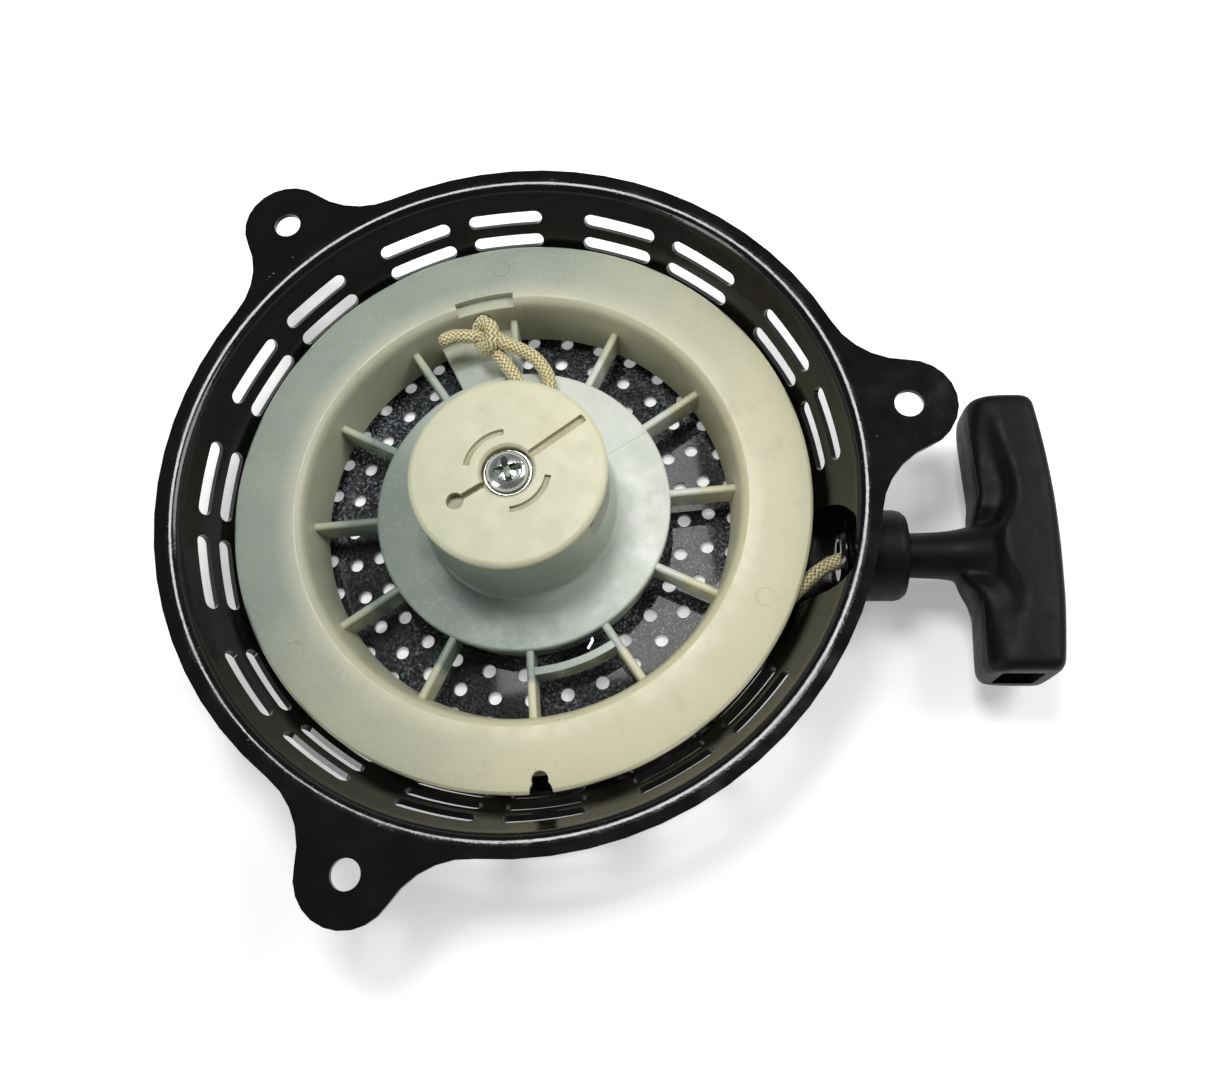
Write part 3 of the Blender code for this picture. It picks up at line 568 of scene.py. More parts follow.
def nylon(name, left, right, centre, pale, shine=0.36, top=None):
    """Moulded natural nylon: slightly translucent, cloudy and frosted.

    The ring's colour goes from left to right and the hub's from centre to pale, across the part: painted
    shade and light, the ring's partly also the nylon's own cloudy tone, the hub's a painted shadow that is
    dark towards the lower left. What is cut into a face at the height top, in metres, is darker with painted
    shade.
    """
    m = Nodes(name)
    # painted shade and light: the ring darkens and greens towards the left and lightens towards the right,
    # partly the nylon's own cloudy tone
    across = m.math("SUBTRACT", m.axis("X"), m.times(m.axis("Y"), 0.6))
    cloud = m.noise(26, 4, 0.6)
    share = m.plus(m.ramp(across, -0.050, 0.045), m.ramp(cloud, 0.3, 0.7, -0.16, 0.16), clamp=True)
    tint = m.mix(share, left, right)
    radius = m.radius()
    # painted shadow on the hub: dark towards the lower left, lit towards the upper right
    towards = m.plus(m.axis("X"), m.times(m.axis("Y"), 0.7))
    middle = m.plus(m.ramp(towards, -0.030, 0.040), m.ramp(cloud, 0.3, 0.7, -0.12, 0.12), clamp=True)
    tint = m.mix(m.ramp(radius, *HUB_EDGE_R), tint, m.mix(middle, centre, pale))
    inner = m.band(radius, *RING_INNER_R)
    tint = m.mix(m.times(inner, 0.55), tint, right)
    if top:
        # painted shade: the keyhole, slot and grooves cut into the cap are darkened
        below = m.ramp(m.axis("Z"), *(top - depth for depth in CAP_SHADE_DEPTH))
        painted_recess_shade = m.times(below, m.ramp(radius, *CAP_EDGE_R))
        tint = m.mix(m.times(painted_recess_shade, 0.75), tint, RECESS_SHADE_NYLON)
    stains = m.times(m.ramp(m.noise(95, 5, 0.7), 0.56, 0.78), 0.35)
    tint = m.mix(stains, tint, STAINED_NYLON)
    frost = m.times(m.ramp(m.noise(800, 5, 0.75), 0.50, 0.68),
                    m.ramp(m.noise(60, 3), 0.35, 0.65, 0.03, 0.18))
    tint = m.mix(frost, tint, FROSTED_NYLON)
    specks = m.ramp(m.cells(620), 0.10, 0.06)
    tint = m.mix(m.times(specks, m.ramp(m.noise(40), 0.5, 0.65)), tint, SPECK)
    m.set(Base_Color=tint)
    m.set(Roughness=m.ramp(m.noise(160, 4), 0.3, 0.7, shine - 0.06, shine + 0.10))
    m.set(Subsurface_Weight=0.22, Subsurface_Radius=(0.9, 0.85, 0.6), Subsurface_Scale=0.0035, IOR=1.53)
    scratches = m.noise(1.0, 3, 0.7, m.stretched((300, 2600, 900)))
    m.bumps((m.noise(110, 2), 0.12, 0.40), (m.noise(420, 3), 0.12, 0.10), (scratches, 0.06, 0.05))
    return m.material


def braided_rope():
    """Cream braided cord: the relief is in the mesh, and this adds fibres, painted shade in the braid's gaps
    and a little grime.
    """
    m = Nodes("braided_rope")
    lift = m.node("ShaderNodeAttribute", attribute_name="lift").outputs["Fac"]
    fibre = m.noise(3400, 3, 0.6)
    # painted shade: the braid's low gaps are darkened, its raised strands keep the rope's cream
    tint = m.mix(m.ramp(lift, 0.52, 0.97), ROPE_GAP_SHADE, ROPE_TOP)
    tint = m.mix(m.times(m.ramp(fibre, 0.45, 0.75), m.times(lift, 0.5)), tint, ROPE_FIBRE)
    grime = m.times(m.ramp(m.noise(120, 4, 0.6), 0.5, 0.75), 0.45)
    tint = m.mix(grime, tint, ROPE_GRIME)
    m.set(Base_Color=tint, Roughness=m.ramp(fibre, 0.3, 0.7, 0.62, 0.85))
    m.set(Sheen_Weight=0.35, Sheen_Roughness=0.4, Specular_IOR_Level=0.35)
    m.bumps((fibre, 0.35, 0.06),)
    return m.material


def moulded_black():
    """Satin black plastic with fine grain, scuffs, handling wear and a hairline where its mould closed."""
    m = Nodes("moulded_black")
    scuff = m.noise(1.0, 4, 0.7, m.stretched((500, 160, 500)))
    marks = m.times(m.ramp(scuff, 0.58, 0.75), m.ramp(m.noise(60), 0.45, 0.6))
    cloud = m.ramp(m.noise(45, 4), 0.35, 0.7)
    tint = m.mix(cloud, BLACK_LOW, BLACK_HIGH)
    off_line = m.math("ABSOLUTE", m.math("SUBTRACT", m.axis("Z"), PARTING_Z))
    line = m.times(m.ramp(off_line, 0.00022, 0.00008), m.ramp(m.axis("X"), 0.1140, 0.1145))
    from_stem = m.math("ABSOLUTE", m.plus(m.axis("Y"), 0.015))
    line = m.times(line, m.times(m.ramp(m.axis("X"), 0.1245, 0.1240),
                                           m.ramp(from_stem, 0.0130, 0.0150)))
    tint = m.mix(m.times(marks, 0.5), tint, SCUFF)
    m.set(Base_Color=m.mix(m.times(line, 0.7), tint, HAIRLINE))
    m.set(Roughness=m.ramp(m.noise(210, 4), 0.3, 0.7, 0.40, 0.56), Specular_IOR_Level=0.30, IOR=1.32)
    m.bumps((m.noise(1500, 2), 0.16, 0.05), (marks, 0.10, 0.04), (line, 0.5, 0.15))
    return m.material


def metal(name, tint, low, high, grain=(900, 900, 60), stain_and_shade=(0.20, 0.18, 0.15), stained=0.4, recess=False):
    """Bare or plated metal with grain, fine pits and some dulling; recess darkens the screw's cross with
    painted shade.
    """
    m = Nodes(name)
    lines = m.noise(1.0, 3, 0.6, m.stretched(grain))
    dulling_and_recess_shade = m.times(m.ramp(m.noise(180, 5, 0.65), 0.48, 0.75), stained)
    if recess:
        # painted shade: the screw's cross recess is darkened like the dulling
        inside = m.times(m.ramp(m.axis("Z"), *RECESS_Z), m.ramp(m.radius(), *RECESS_R))
        dulling_and_recess_shade = m.math("MAXIMUM", dulling_and_recess_shade, m.times(inside, m.ramp(m.noise(900), 0.35, 0.6, 0.75, 1.0)))
    m.set(Base_Color=m.mix(dulling_and_recess_shade, tint, stain_and_shade), Metallic=1.0)
    m.set(Roughness=m.plus(m.ramp(lines, 0.3, 0.7, low, high), m.times(dulling_and_recess_shade, 0.35)))
    m.bumps((lines, 0.12, 0.03), (m.noise(2200, 2), 0.08, 0.02))
    return m.material


def floor_paper():
    """White paper that glows a little, so that it stays white away from the lights."""
    m = Nodes("floor_paper")
    m.set(Base_Color=m.mix(m.noise(30, 3), (0.95, 0.95, 0.95), (0.98, 0.98, 0.98)), Roughness=0.75)
    m.set(Emission_Color=(1.0, 1.0, 1.0, 1.0), Emission_Strength=FLOOR_GLOW)
    m.bumps((m.noise(800, 2), 0.05, 0.05),)
    return m.material


# ---------------------------------------------------------------- making pieces

def placed(name, mesh, material, body, slot, *nodes):
    """Adds a finished mesh as a piece that rides on body and stands for the named CAD nodes."""
    piece = linked(name, mesh)
    mesh.materials.clear()
    mesh.materials.append(material)
    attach(piece, body)
    if nodes:
        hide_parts(*nodes)
    return piece


def boolean(mesh, operation, other):
    """mesh with other joined to it or cut from it."""
    made = [linked("shape", m) for m in (mesh, other)]
    step = made[0].modifiers.new("step", "BOOLEAN")
    step.operation = operation
    step.solver = "EXACT"
    step.object = made[1]
    result = evaluated_mesh(made[0])
    bpy.data.objects.remove(made[1])
    return result


def modified(mesh, kind, **settings):
    """mesh after one modifier."""
    obj = linked("shape", mesh)
    step = obj.modifiers.new("step", kind)
    for key, value in settings.items():
        setattr(step, key, value)
    return evaluated_mesh(obj)


def shaded(mesh, angle=32):
    """Smooth shading with sharp edges kept, and with the flat faces' own normals left flat."""
    mesh.shade_smooth()
    mesh.set_sharp_from_angle(angle=radians(angle))
    return modified(mesh, "WEIGHTED_NORMAL", keep_sharp=True, weight=50)


def open_centres(mesh):
    """Turns the fans of triangles round the axis into single flat faces, which Booleans cut cleanly."""
    shape = bmesh.new()
    shape.from_mesh(mesh)
    axis = [v for v in shape.verts if hypot(v.co.x, v.co.y) < 1e-7]
    bmesh.ops.dissolve_verts(shape, verts=axis)
    shape.to_mesh(mesh)
    shape.free()
    return mesh


def rounded(mesh, width, segments=2, angle=40):
    """mesh with its edges rolled to a width in millimetres."""
    return welded(modified(mesh, "BEVEL", width=width * MM, segments=segments, limit_method="ANGLE",
                           angle_limit=radians(angle)))


# ---------------------------------------------------------------- housing

def bend(points, corner, radius, count=4):
    """Replaces one corner of a profile by an arc-like run of points that cuts it by radius on each side."""
    before, here, after = (Vector(points[i]) for i in (corner - 1, corner, corner + 1))
    a = here + (before - here).normalized() * radius
    b = here + (after - here).normalized() * radius
    run = []
    for i in range(count + 1):
        t = i / count
        run.append(tuple(a * (1 - t) ** 2 + here * 2 * t * (1 - t) + b * t * t))
    return points[:corner] + run + points[corner + 1:]


def housing_mesh():
    """The bowl: turned outside, flange plate and pocket joined, then hollowed, bored, vented and slotted."""
    outer = [(0, FLANGE_Z - 0.6), (92.6, FLANGE_Z - 0.6), (92.2, FLANGE_Z - 2), (90.4, 33.5), (89.5, 32.0),
             (73.0, 1.9), (71.8, 0.5), (FLOOR_R + 0.5, 0), (0, 0)]
    mesh = open_centres(turned_mesh(outer, SMOOTH_STEPS, closed=False))
    plate = outline_mesh(flange_outline(), FLANGE_Z - SHEET, FLANGE_Z)
    ears = [cylinder_mesh(EAR_HOLE_R, (*polar(EAR_PITCH_R, a), 30), (*polar(EAR_PITCH_R, a), 40), 48)
            for a in EAR_ANGLES]
    mesh = boolean(mesh, "UNION", rounded(boolean(plate, "DIFFERENCE", joined(ears)), 0.3))
    y0, y1 = PULL_Y - POCKET_HALF, PULL_Y + POCKET_HALF
    block = rounded_rectangle(POCKET_START, POCKET_X, y0, y1, POCKET_CORNER, 10)
    mesh = boolean(mesh, "UNION", outline_mesh(block, POCKET_Z, FLANGE_Z - SHEET / 2))
    inside = [(0, FLANGE_Z + 4), (92.6, FLANGE_Z + 4), (92.2, FLANGE_Z), (89.5, 35.86),
              (WALL_TOP_R, WALL_TOP_Z - 1), (WALL_FOOT_R, WALL_FOOT_Z), (FLOOR_R - 1, SHEET), (0, SHEET)]
    inside = bend(bend(inside, 5, 2.0), 3, 2.1, 10)
    mesh = boolean(mesh, "DIFFERENCE", open_centres(turned_mesh(inside, SMOOTH_STEPS, closed=False)))
    y0, y1 = y0 + SHEET, y1 - SHEET
    hollow = rounded_rectangle(POCKET_START, POCKET_X - SHEET, y0, y1, POCKET_CORNER - SHEET, 10)
    mesh = boolean(mesh, "DIFFERENCE", outline_mesh(hollow, POCKET_Z + SHEET, FLANGE_Z + 4))
    hole = cylinder_mesh(GUIDE_HOLE_R, (84, PULL_Y, PULL_Z), (94, PULL_Y, PULL_Z), 48)
    mesh = boolean(mesh, "DIFFERENCE", hole)
    for radius, count, first in VENT_RINGS:
        vents = [polar(radius, first + VENT_TURN + 360 * i / count) for i in range(count)]
        vents = [cylinder_mesh(VENT_HOLE_R, (x, y, -2), (x, y, 5), 20) for x, y in vents]
        mesh = boolean(mesh, "DIFFERENCE", joined(vents))
    slots = []
    lean = atan2(WALL_TOP_R - WALL_FOOT_R, WALL_TOP_Z - WALL_FOOT_Z)
    for row in range(SLOT_ROWS):
        for pair in range(SLOT_PAIRS):
            first = SLOT_PAIR_START + pair * SLOT_PAIR_STEP
            z = SLOT_FIRST_Z - row * SLOT_PITCH * cos(lean)
            slots += [slot_cutter(z, first), slot_cutter(z, first + SLOT_PAIR_GAP)]
    return shaded(boolean(mesh, "DIFFERENCE", joined(slots)), 30)


def rope_guide_mesh():
    """The moulded collar: a rounded shoulder, a flared mouth and a dimple from its gate."""
    bore, mouth, end = ROPE_R + 1.0, STEM_R + 0.6, GUIDE_END - (POCKET_X - SHEET - GAP)
    profile = [(bore, 0.0), (bore, end - 5.6), (mouth, end - 5.0), (mouth, end - 0.6), (mouth + 0.6, end),
               (9.0, end), (10.6, end - 0.4), (11.6, end - 1.6), (12.0, end - 3.2), (12.0, 2.9), (11.6, 2.4),
               (6.0, 2.4), (6.0, 0.0)]
    mesh = turned_mesh(profile, 96)
    dimple = cylinder_mesh(1.3, (-7.6, 3.0, end - 1.1), (-7.6, 3.0, end + 2.9), 24)
    mesh = boolean(mesh, "DIFFERENCE", dimple)
    return shaded(moved(mesh, along_x(POCKET_X - SHEET - GAP, PULL_Y, PULL_Z)), 30)


# ---------------------------------------------------------------- pulley

def pulley_mesh():
    """The moulded pulley: ring, hub, spokes, knot shelf and pawl posts, then every cut into them."""
    ring = [(RING_TOP_R - 0.4, -3.4), (RING_TOP_R + 0.5, -0.9), (RING_TOP_R + 2.4, -0.1), (RING_TOP_R + 7, 0),
            (PULLEY_R - 3, -0.15), (PULLEY_R - 0.8, -0.3), (PULLEY_R, -0.9), (PULLEY_R, -1.7)]
    ring = [(radius, PULLEY_TOP + drop) for radius, drop in ring]
    ring = bend(bend(ring, 6, 0.5), 1, 1.4, 5)
    groove = [(GROOVE_ROOT_R, PULLEY_TOP - 2.3), (GROOVE_ROOT_R, 14.4), (73.5, 14.0), (73.5, 12.4),
              (GROOVE_ROOT_R - 1, 12.0), (GROOVE_ROOT_R - 1.6, 5.4), (RING_FOOT_R, 5.4)]
    mesh = turned_mesh(ring + groove, SMOOTH_STEPS)
    under = HUB_DISC_Z - HUB_DISC_THICK
    drum = [(DRUM_R - DRUM_WALL, HUB_DISC_Z - 0.5), (DRUM_R - DRUM_WALL, DRUM_TOP), (DRUM_R, DRUM_TOP),
            (DRUM_R + 0.6, HUB_DISC_Z), (HUB_DISC_R, HUB_DISC_Z)]
    drum = bend(bend(drum, 3, 1.5, 6) + [(HUB_DISC_R, under)], 10, 0.7)
    hub = [(BORE_R, 30.0), (SLEEVE_R, 30.0), (SLEEVE_R, HUB_DISC_Z - 0.5)] + drum
    hub += [(39.6, under), (39.6, 3.8), (37.6, 3.8), (37.6, under), (BORE_R, under)]
    mesh = boolean(mesh, "UNION", turned_mesh(hub, SMOOTH_STEPS))
    half = SPOKE_THICK / 2
    spokes = []
    for i in range(SPOKES):
        spoke = rounded(box_mesh((38.8, -half, 6.4), (59.4, half, HUB_DISC_Z - 0.4)), 0.75, 3)
        spokes.append(moved(spoke, about_z(SPOKE_START + i * 360 / SPOKES)))
    mesh = boolean(mesh, "UNION", joined(spokes))
    shelf = arc(0, 0, 39.0, 96.5, 118, 4) + arc(0, 0, 59.0, 118, 96.5, 5)
    mesh = boolean(mesh, "UNION", rounded(outline_mesh(shelf, 9.0, 11.0), 0.4))
    pivots = [polar(PAWL_PIVOT_R, PAWL_ANGLE + turn) for turn in (0, 180)]
    for radius, low, high in ((PAWL_POST_R, HUB_DISC_Z, PAWL_BOTTOM - GAP), (PIVOT_R, 29, PAWL_TOP + 1.4)):
        posts = [cylinder_mesh(radius, (x, y, low), (x, y, high), 32) for x, y in pivots]
        mesh = boolean(mesh, "UNION", joined(posts))
    band = arc(0, 0, 45.4, 275.5, 305.5, 12) + arc(0, 0, 47.4, 305.5, 275.5, 12)
    mesh = boolean(mesh, "UNION", outline_mesh(band, 6.0, HUB_DISC_Z - 0.9))
    nick = [(PULLEY_R + 3, -3.6), (PULLEY_R - 1.5, -2.8)] + arc(PULLEY_R - 3.4, 0, 2.2, -70, -290, 14)
    nick += [(PULLEY_R - 1.5, 2.8), (PULLEY_R + 3, 3.6)]
    mesh = boolean(mesh, "DIFFERENCE", moved(outline_mesh(nick, 19, 26), about_z(NICK_ANGLE)))
    step = arc(0, 0, 56.0, 94.5, 110, 8) + arc(0, 0, 63.5, 110, 94.5, 8)
    mesh = boolean(mesh, "DIFFERENCE", outline_mesh(step, 20.6, 26))
    hx, hy = polar(54, KNOT_ANGLE)
    ox, oy = polar(66, KNOT_ANGLE)
    cuts = [cylinder_mesh(ROPE_R + 0.5, (hx, hy, KNOT_HOLE_Z), (ox, oy, KNOT_HOLE_Z), 24)]
    for turn in (0, 180):
        start, end = (PAWL_ANGLE + turn + angle for angle in WINDOW)
        window = arc(0, 0, DRUM_R - DRUM_WALL - 1.2, start, end, 16) + arc(0, 0, DRUM_R + 3, end, start, 16)
        cuts.append(outline_mesh(window, PAWL_BOTTOM - 0.8, DRUM_TOP + 2))
    exit_slot = arc(0, 0, 35.5, 292, 306, 3) + arc(0, 0, 43, 306, 292, 3)
    cuts.append(outline_mesh(exit_slot, 4.6, under - 0.6))
    weld_line = box_mesh((DRUM_R + 2.6, -0.16, HUB_DISC_Z - 0.15), (HUB_DISC_R + 1, 0.16, HUB_DISC_Z + 1))
    cuts.append(moved(weld_line, about_z(WELD_ANGLE)))
    for angle in MARK_ANGLES:
        x, y = polar(MARK_R, angle)
        top, bottom = PULLEY_TOP + 1, PULLEY_TOP - MARK_DEPTH
        mark = [(2.3, top), (2.55, top), (2.55, bottom), (2.3, bottom)]
        cuts.append(moved(turned_mesh(mark, 40), Matrix.Translation((x * MM, y * MM, 0))))
    return shaded(boolean(mesh, "DIFFERENCE", joined(cuts)), 32)


def guide_mesh():
    """The ratchet guide: a thick disc recessed for the screw, with a keyhole, grooves and cam tracks."""
    profile = [(4.2, 39.1), (6.7, 39.1), (6.8, GUIDE_TOP - 0.9), (7.6, GUIDE_TOP - 0.05), (8.4, GUIDE_TOP),
               (GUIDE_R - 1.4, GUIDE_TOP), (GUIDE_R - 0.5, GUIDE_TOP - 0.2), (GUIDE_R, GUIDE_TOP - 0.9),
               (GUIDE_R, GUIDE_BOTTOM + 0.3), (GUIDE_R - 0.3, GUIDE_BOTTOM), (8.6, GUIDE_BOTTOM), (8.6, 37.2),
               (4.2, 37.2)]
    mesh = turned_mesh(bend(profile, 6, 0.5), 144)
    bottom, above = GUIDE_TOP - KEYHOLE_DEPTH, GUIDE_TOP + 2
    groove = rounded(box_mesh((7.0, -1.2, GUIDE_TOP - 1.3), (24.2, 1.2, above)), 0.5, 3)
    neck = box_mesh((6.0, -0.85, bottom), (14.5, 0.85, above))
    kx, ky = polar(KEYHOLE_R, KEYHOLE_ANGLE)
    arcs = []
    for start in ARC_STARTS:
        end = start + ARC_SPAN
        band = arc(0, 0, 9.9, start, end, 14) + arc(0, 0, 11.6, end, start, 14)
        arcs.append(rounded(outline_mesh(band, GUIDE_TOP - 1.0, above), 0.45, 3))
    tracks = [moved(outline_mesh(cam_track(), GUIDE_BOTTOM - 2, GUIDE_BOTTOM + 1.3),
                    about_z(PAWL_ANGLE + turn)) for turn in (0, 180)]
    for tool in (moved(groove, about_z(GROOVE_ANGLE)), moved(neck, about_z(KEYHOLE_ANGLE)),
                 cylinder_mesh(2.3, (kx, ky, bottom), (kx, ky, above), 32), joined(arcs), joined(tracks)):
        mesh = boolean(mesh, "DIFFERENCE", tool)
    return shaded(rounded(mesh, 0.14, 2, 50), 32)


def screw_mesh():
    """Pan-head screw with a worn cross recess whose arms slope down to its centre."""
    head = [(0, 43.2), (1.6, 43.15), (3.4, 42.9), (4.7, 42.35), (5.5, 41.6), (5.8, 40.9), (5.8, 40.6),
            (5.6, 40.4), (3.0, 40.4), (3.0, 21.0), (0, 21.0)]
    mesh = turned_mesh(head, 64, closed=False)
    for angle, half, width in ((14, 3.9, 0.95), (106, 3.5, 0.85)):
        blade = [(-half, 45), (-half, 42.7), (-1.5, 41.0), (1.5, 41.0), (half, 42.7), (half, 45)]
        bar = rounded(stood_up(outline_mesh(blade, -width, width)), 0.35, 2, 60)
        mesh = boolean(mesh, "DIFFERENCE", moved(bar, about_z(angle)))
    return shaded(rounded(mesh, 0.16, 3, 30), 50)


# ---------------------------------------------------------------- rope

def smooth_path(points, spacing=ROPE_STEP):
    """Evenly spaced points on a Catmull-Rom curve through points, in millimetres."""
    points = [Vector(p) for p in points]
    ends = [points[0] * 2 - points[1]] + points + [points[-1] * 2 - points[-2]]
    dense = []
    for a, b, c, d in zip(ends, ends[1:], ends[2:], ends[3:]):
        for i in range(40):
            t = i / 40
            dense.append(0.5 * ((2 * b) + (c - a) * t + (2 * a - 5 * b + 4 * c - d) * t * t
                                + (3 * b - a - 3 * c + d) * t ** 3))
    dense.append(points[-1])
    even, travelled, target = [dense[0]], 0.0, spacing
    for a, b in zip(dense, dense[1:]):
        step = (b - a).length
        while step > 0 and travelled + step >= target:
            even.append(a.lerp(b, (target - travelled) / step))
            target += spacing
        travelled += step
    return even


def braid(around, distance):
    """Height of the braid's relief, from 0 to 1: strands that cross over and under each other."""
    first = BRAID_STRANDS * around / (2 * pi) + BRAID_STRANDS * distance / BRAID_PITCH
    second = BRAID_STRANDS * around / (2 * pi) - BRAID_STRANDS * distance / BRAID_PITCH
    over = (floor(first) + floor(second)) % 2 == 0
    a, b = abs(sin(pi * first)), abs(sin(pi * second))
    top, under = (a, b) if over else (b, a)
    return min(1.0, max(top ** 0.6, 0.35 * under ** 0.6))


def rope_mesh(points, radius=ROPE_R, round_start=False, round_end=False, frayed=False):
    """A braided rope along points, with its relief in the mesh and its height kept as the attribute lift."""
    path = smooth_path(points)
    shape = bmesh.new()
    lift = shape.verts.layers.float.new("lift")
    heading = (path[1] - path[0]).normalized()
    side = heading.orthogonal().normalized()
    rings = []
    last = len(path) - 1
    for i, centre in enumerate(path):
        ahead = (path[min(i + 1, last)] - path[max(i - 1, 0)]).normalized()
        side = (side - ahead * side.dot(ahead)).normalized()
        up = ahead.cross(side)
        scale = 1.0
        to_start, to_end = i * ROPE_STEP / radius, (last - i) * ROPE_STEP / radius
        if round_start and to_start < 1:
            scale = sqrt(max(0.02, 1 - (1 - to_start) ** 2))
        if round_end and to_end < 1:
            scale = sqrt(max(0.02, 1 - (1 - to_end) ** 2))
        ring = []
        for k in range(ROPE_SIDES):
            around = 2 * pi * k / ROPE_SIDES
            height = braid(around, i * ROPE_STEP)
            out = radius * scale * (0.80 + 0.20 * height)
            if frayed and to_end < 0.6 and k % 3 == 0:
                out *= 0.7
            vert = shape.verts.new((centre + (side * cos(around) + up * sin(around)) * out) * MM)
            vert[lift] = height
            ring.append(vert)
        rings.append(ring)
    mesh = swept_mesh(shape, rings, "rope")
    mesh.shade_smooth()
    return mesh


def knot_points():
    """The rope's end on the pulley: out of its hole, through a knot, round a loop and back to a tail."""
    centre = Vector((*polar(51.5, KNOT_ANGLE), 20.6))
    out = Vector(polar(1.0, KNOT_ANGLE)).to_3d()
    hole = Vector((*polar(64.5, KNOT_ANGLE), KNOT_HOLE_Z))
    knot = ((-1.2, 4.6, -2.6), (-2.0, 0.2, -2.4), (0.4, -3.6, -0.4), (2.6, -2.8, 2.6), (2.0, 1.6, 3.4),
            (-1.4, 3.0, 1.8), (-1.6, 0.6, -0.2), (2.2, -3.0, -0.8))
    loop = ((-4.0, 38.6, 19.6), (0.2, 32.8, 19.4), (4.0, 31.6, 19.6), (6.6, 34.6, 19.8), (5.2, 39.4, 20.0),
            (0.6, 44.4, 20.6))
    through = ((5.4, -2.6, 1.8), (1.4, 1.2, 0.4), (-3.0, 0.4, 0.0), (-6.6, 0.4, 0.2))
    tail = ((-22.0, 50.2, 20.8), (-26.2, 48.4, 20.6))
    route = [hole, hole - out * 5] + [centre + Vector(p) for p in knot] + [Vector(p) for p in loop]
    return route + [centre + Vector(p) for p in through] + [Vector(p) for p in tail]


# ---------------------------------------------------------------- handle

def along(table, at):
    """The value at a position, on straight lines between the table's (position, value) pairs."""
    for (a, low), (b, high) in zip(table, table[1:]):
        if at <= b:
            return low + (high - low) * max(0.0, (at - a) / (b - a))
    return table[-1][1]


# Along the grip, by Y: its inner side, the crest beside the scoop, and how deep the scoop is
GRIP_INNER = ((-47.5, 119.4), (-42, 119.3), (-31, 119.6), (-27, 118.6), (-23.5, 116.4), (-20, 115.2),
              (-10, 117.4), (-7, 119.6), (0, 120.6), (10, 120.0), (20, 119.4), (26.5, 119.8))
GRIP_RIDGE = ((-47.5, 0.50), (-37, 0.56), (-29.6, 0.60), (-26.4, 0.57), (-21.2, 0.47), (-15.9, 0.39),
              (-13.3, 0.38), (-9.6, 0.38), (-6.4, 0.42), (-2.2, 0.49), (4.1, 0.50), (9.4, 0.44), (15.7, 0.34),
              (21.5, 0.27), (26.5, 0.25))
GRIP_SCOOP = ((-47.5, 0.0), (-41, 0.05), (-33, 0.35), (-26, 0.75), (-20, 1.0), (-9, 1.0), (-4, 0.9), (4, 0.8),
              (14, 0.5), (22, 0.15), (26.5, 0.0))


def grip_section(ridge, scoop, sink):
    """Upper half of a section, from the inner side (0) to the outer (1): plain, or scooped for fingers."""
    plain = ((0, 0), (0.005, 0.35), (0.03, 0.60), (0.09, 0.77), (0.18, 0.88), (0.27, 0.94), (0.36, 0.97),
             (0.45, 0.99), (0.56, 1.0))
    cut_in = ((0, 0), (0, 0.34 - 0.1 * sink), (0.012, 0.52 - 0.16 * sink), (0.14 * ridge, 0.62 - 0.2 * sink),
              (0.42 * ridge, 0.63 - 0.16 * sink), (0.68 * ridge, 0.69 - 0.1 * sink), (0.86 * ridge, 0.86),
              (ridge, 0.975), (ridge + 0.09, 1.0))
    half = [(a[0] + (b[0] - a[0]) * scoop, a[1] + (b[1] - a[1]) * scoop) for a, b in zip(plain, cut_in)]
    return half + [(0.86, 0.985), (0.95, 0.91), (0.99, 0.74), (1.0, 0.38), (1.0, 0)]


def grip_mesh():
    """The T-grip: sections along its length, scooped for fingers, joined to a flared stem and smoothed."""
    low, high = GRIP_Y - GRIP_LENGTH / 2, GRIP_Y + GRIP_LENGTH / 2
    back = GRIP_X + GRIP_WIDTH / 2 - 1.05
    shape = bmesh.new()
    rings = []
    for i in range(GRIP_RINGS + 1):
        t = i / GRIP_RINGS
        y = low + (high - low) * t
        outer = back + GRIP_BOW * 4 * t * (1 - t) - GRIP_TAPER * t
        inner = along(GRIP_INNER, y)
        sink = max(0.0, min(1.0, (11.0 - abs(y - PULL_Y)) / 4.0))
        half = grip_section(along(GRIP_RIDGE, y), along(GRIP_SCOOP, y), sink)
        section = half + [(u, -v) for u, v in reversed(half[1:-1])]
        shy = max(0.0, 1 - min(y - low, high - y) / 2.4)
        scale = 1 - 0.12 * shy ** 2
        middle = (inner + outer) / 2
        ring = []
        for u, v in section:
            x = middle + (inner + (outer - inner) * u - middle) * scale
            z = PULL_Z + (GRIP_THICK / 2 - 0.1) * v * scale
            ring.append(shape.verts.new((x * MM, y * MM, z * MM)))
        rings.append(ring)
    grip = swept_mesh(shape, rings, "grip")
    stem = [(0, 25.5), (STEM_R + 4.4, 25.5), (STEM_R + 3.2, 22.5), (STEM_R + 2.0, 19.5), (STEM_R + 1.1, 17.0),
            (STEM_R + 0.4, 13.5), (STEM_R, 10.0), (STEM_R - 0.3, 1.2), (STEM_R - 1.0, 0.0), (0, 0.0)]
    stem = moved(turned_mesh(stem, 64, closed=False), along_x(STEM_START, PULL_Y, PULL_Z))
    mesh = boolean(grip, "UNION", stem)
    mesh = modified(mesh, "REMESH", mode="VOXEL", voxel_size=GRIP_VOXEL * MM)
    mesh = modified(mesh, "SMOOTH", factor=0.5, iterations=24)
    cavity = rounded_rectangle(GRIP_X - 5.5, GRIP_X + 5.0, PULL_Z - 6.5, PULL_Z + 6.5, 1.2, 6)
    mesh = boolean(mesh, "DIFFERENCE", welded(stood_up(outline_mesh(cavity, -60, 60))))
    bore = cylinder_mesh(ROPE_R + 0.5, (95, PULL_Y, PULL_Z), (GRIP_X, PULL_Y, PULL_Z), 32)
    return shaded(boolean(mesh, "DIFFERENCE", bore), 45)


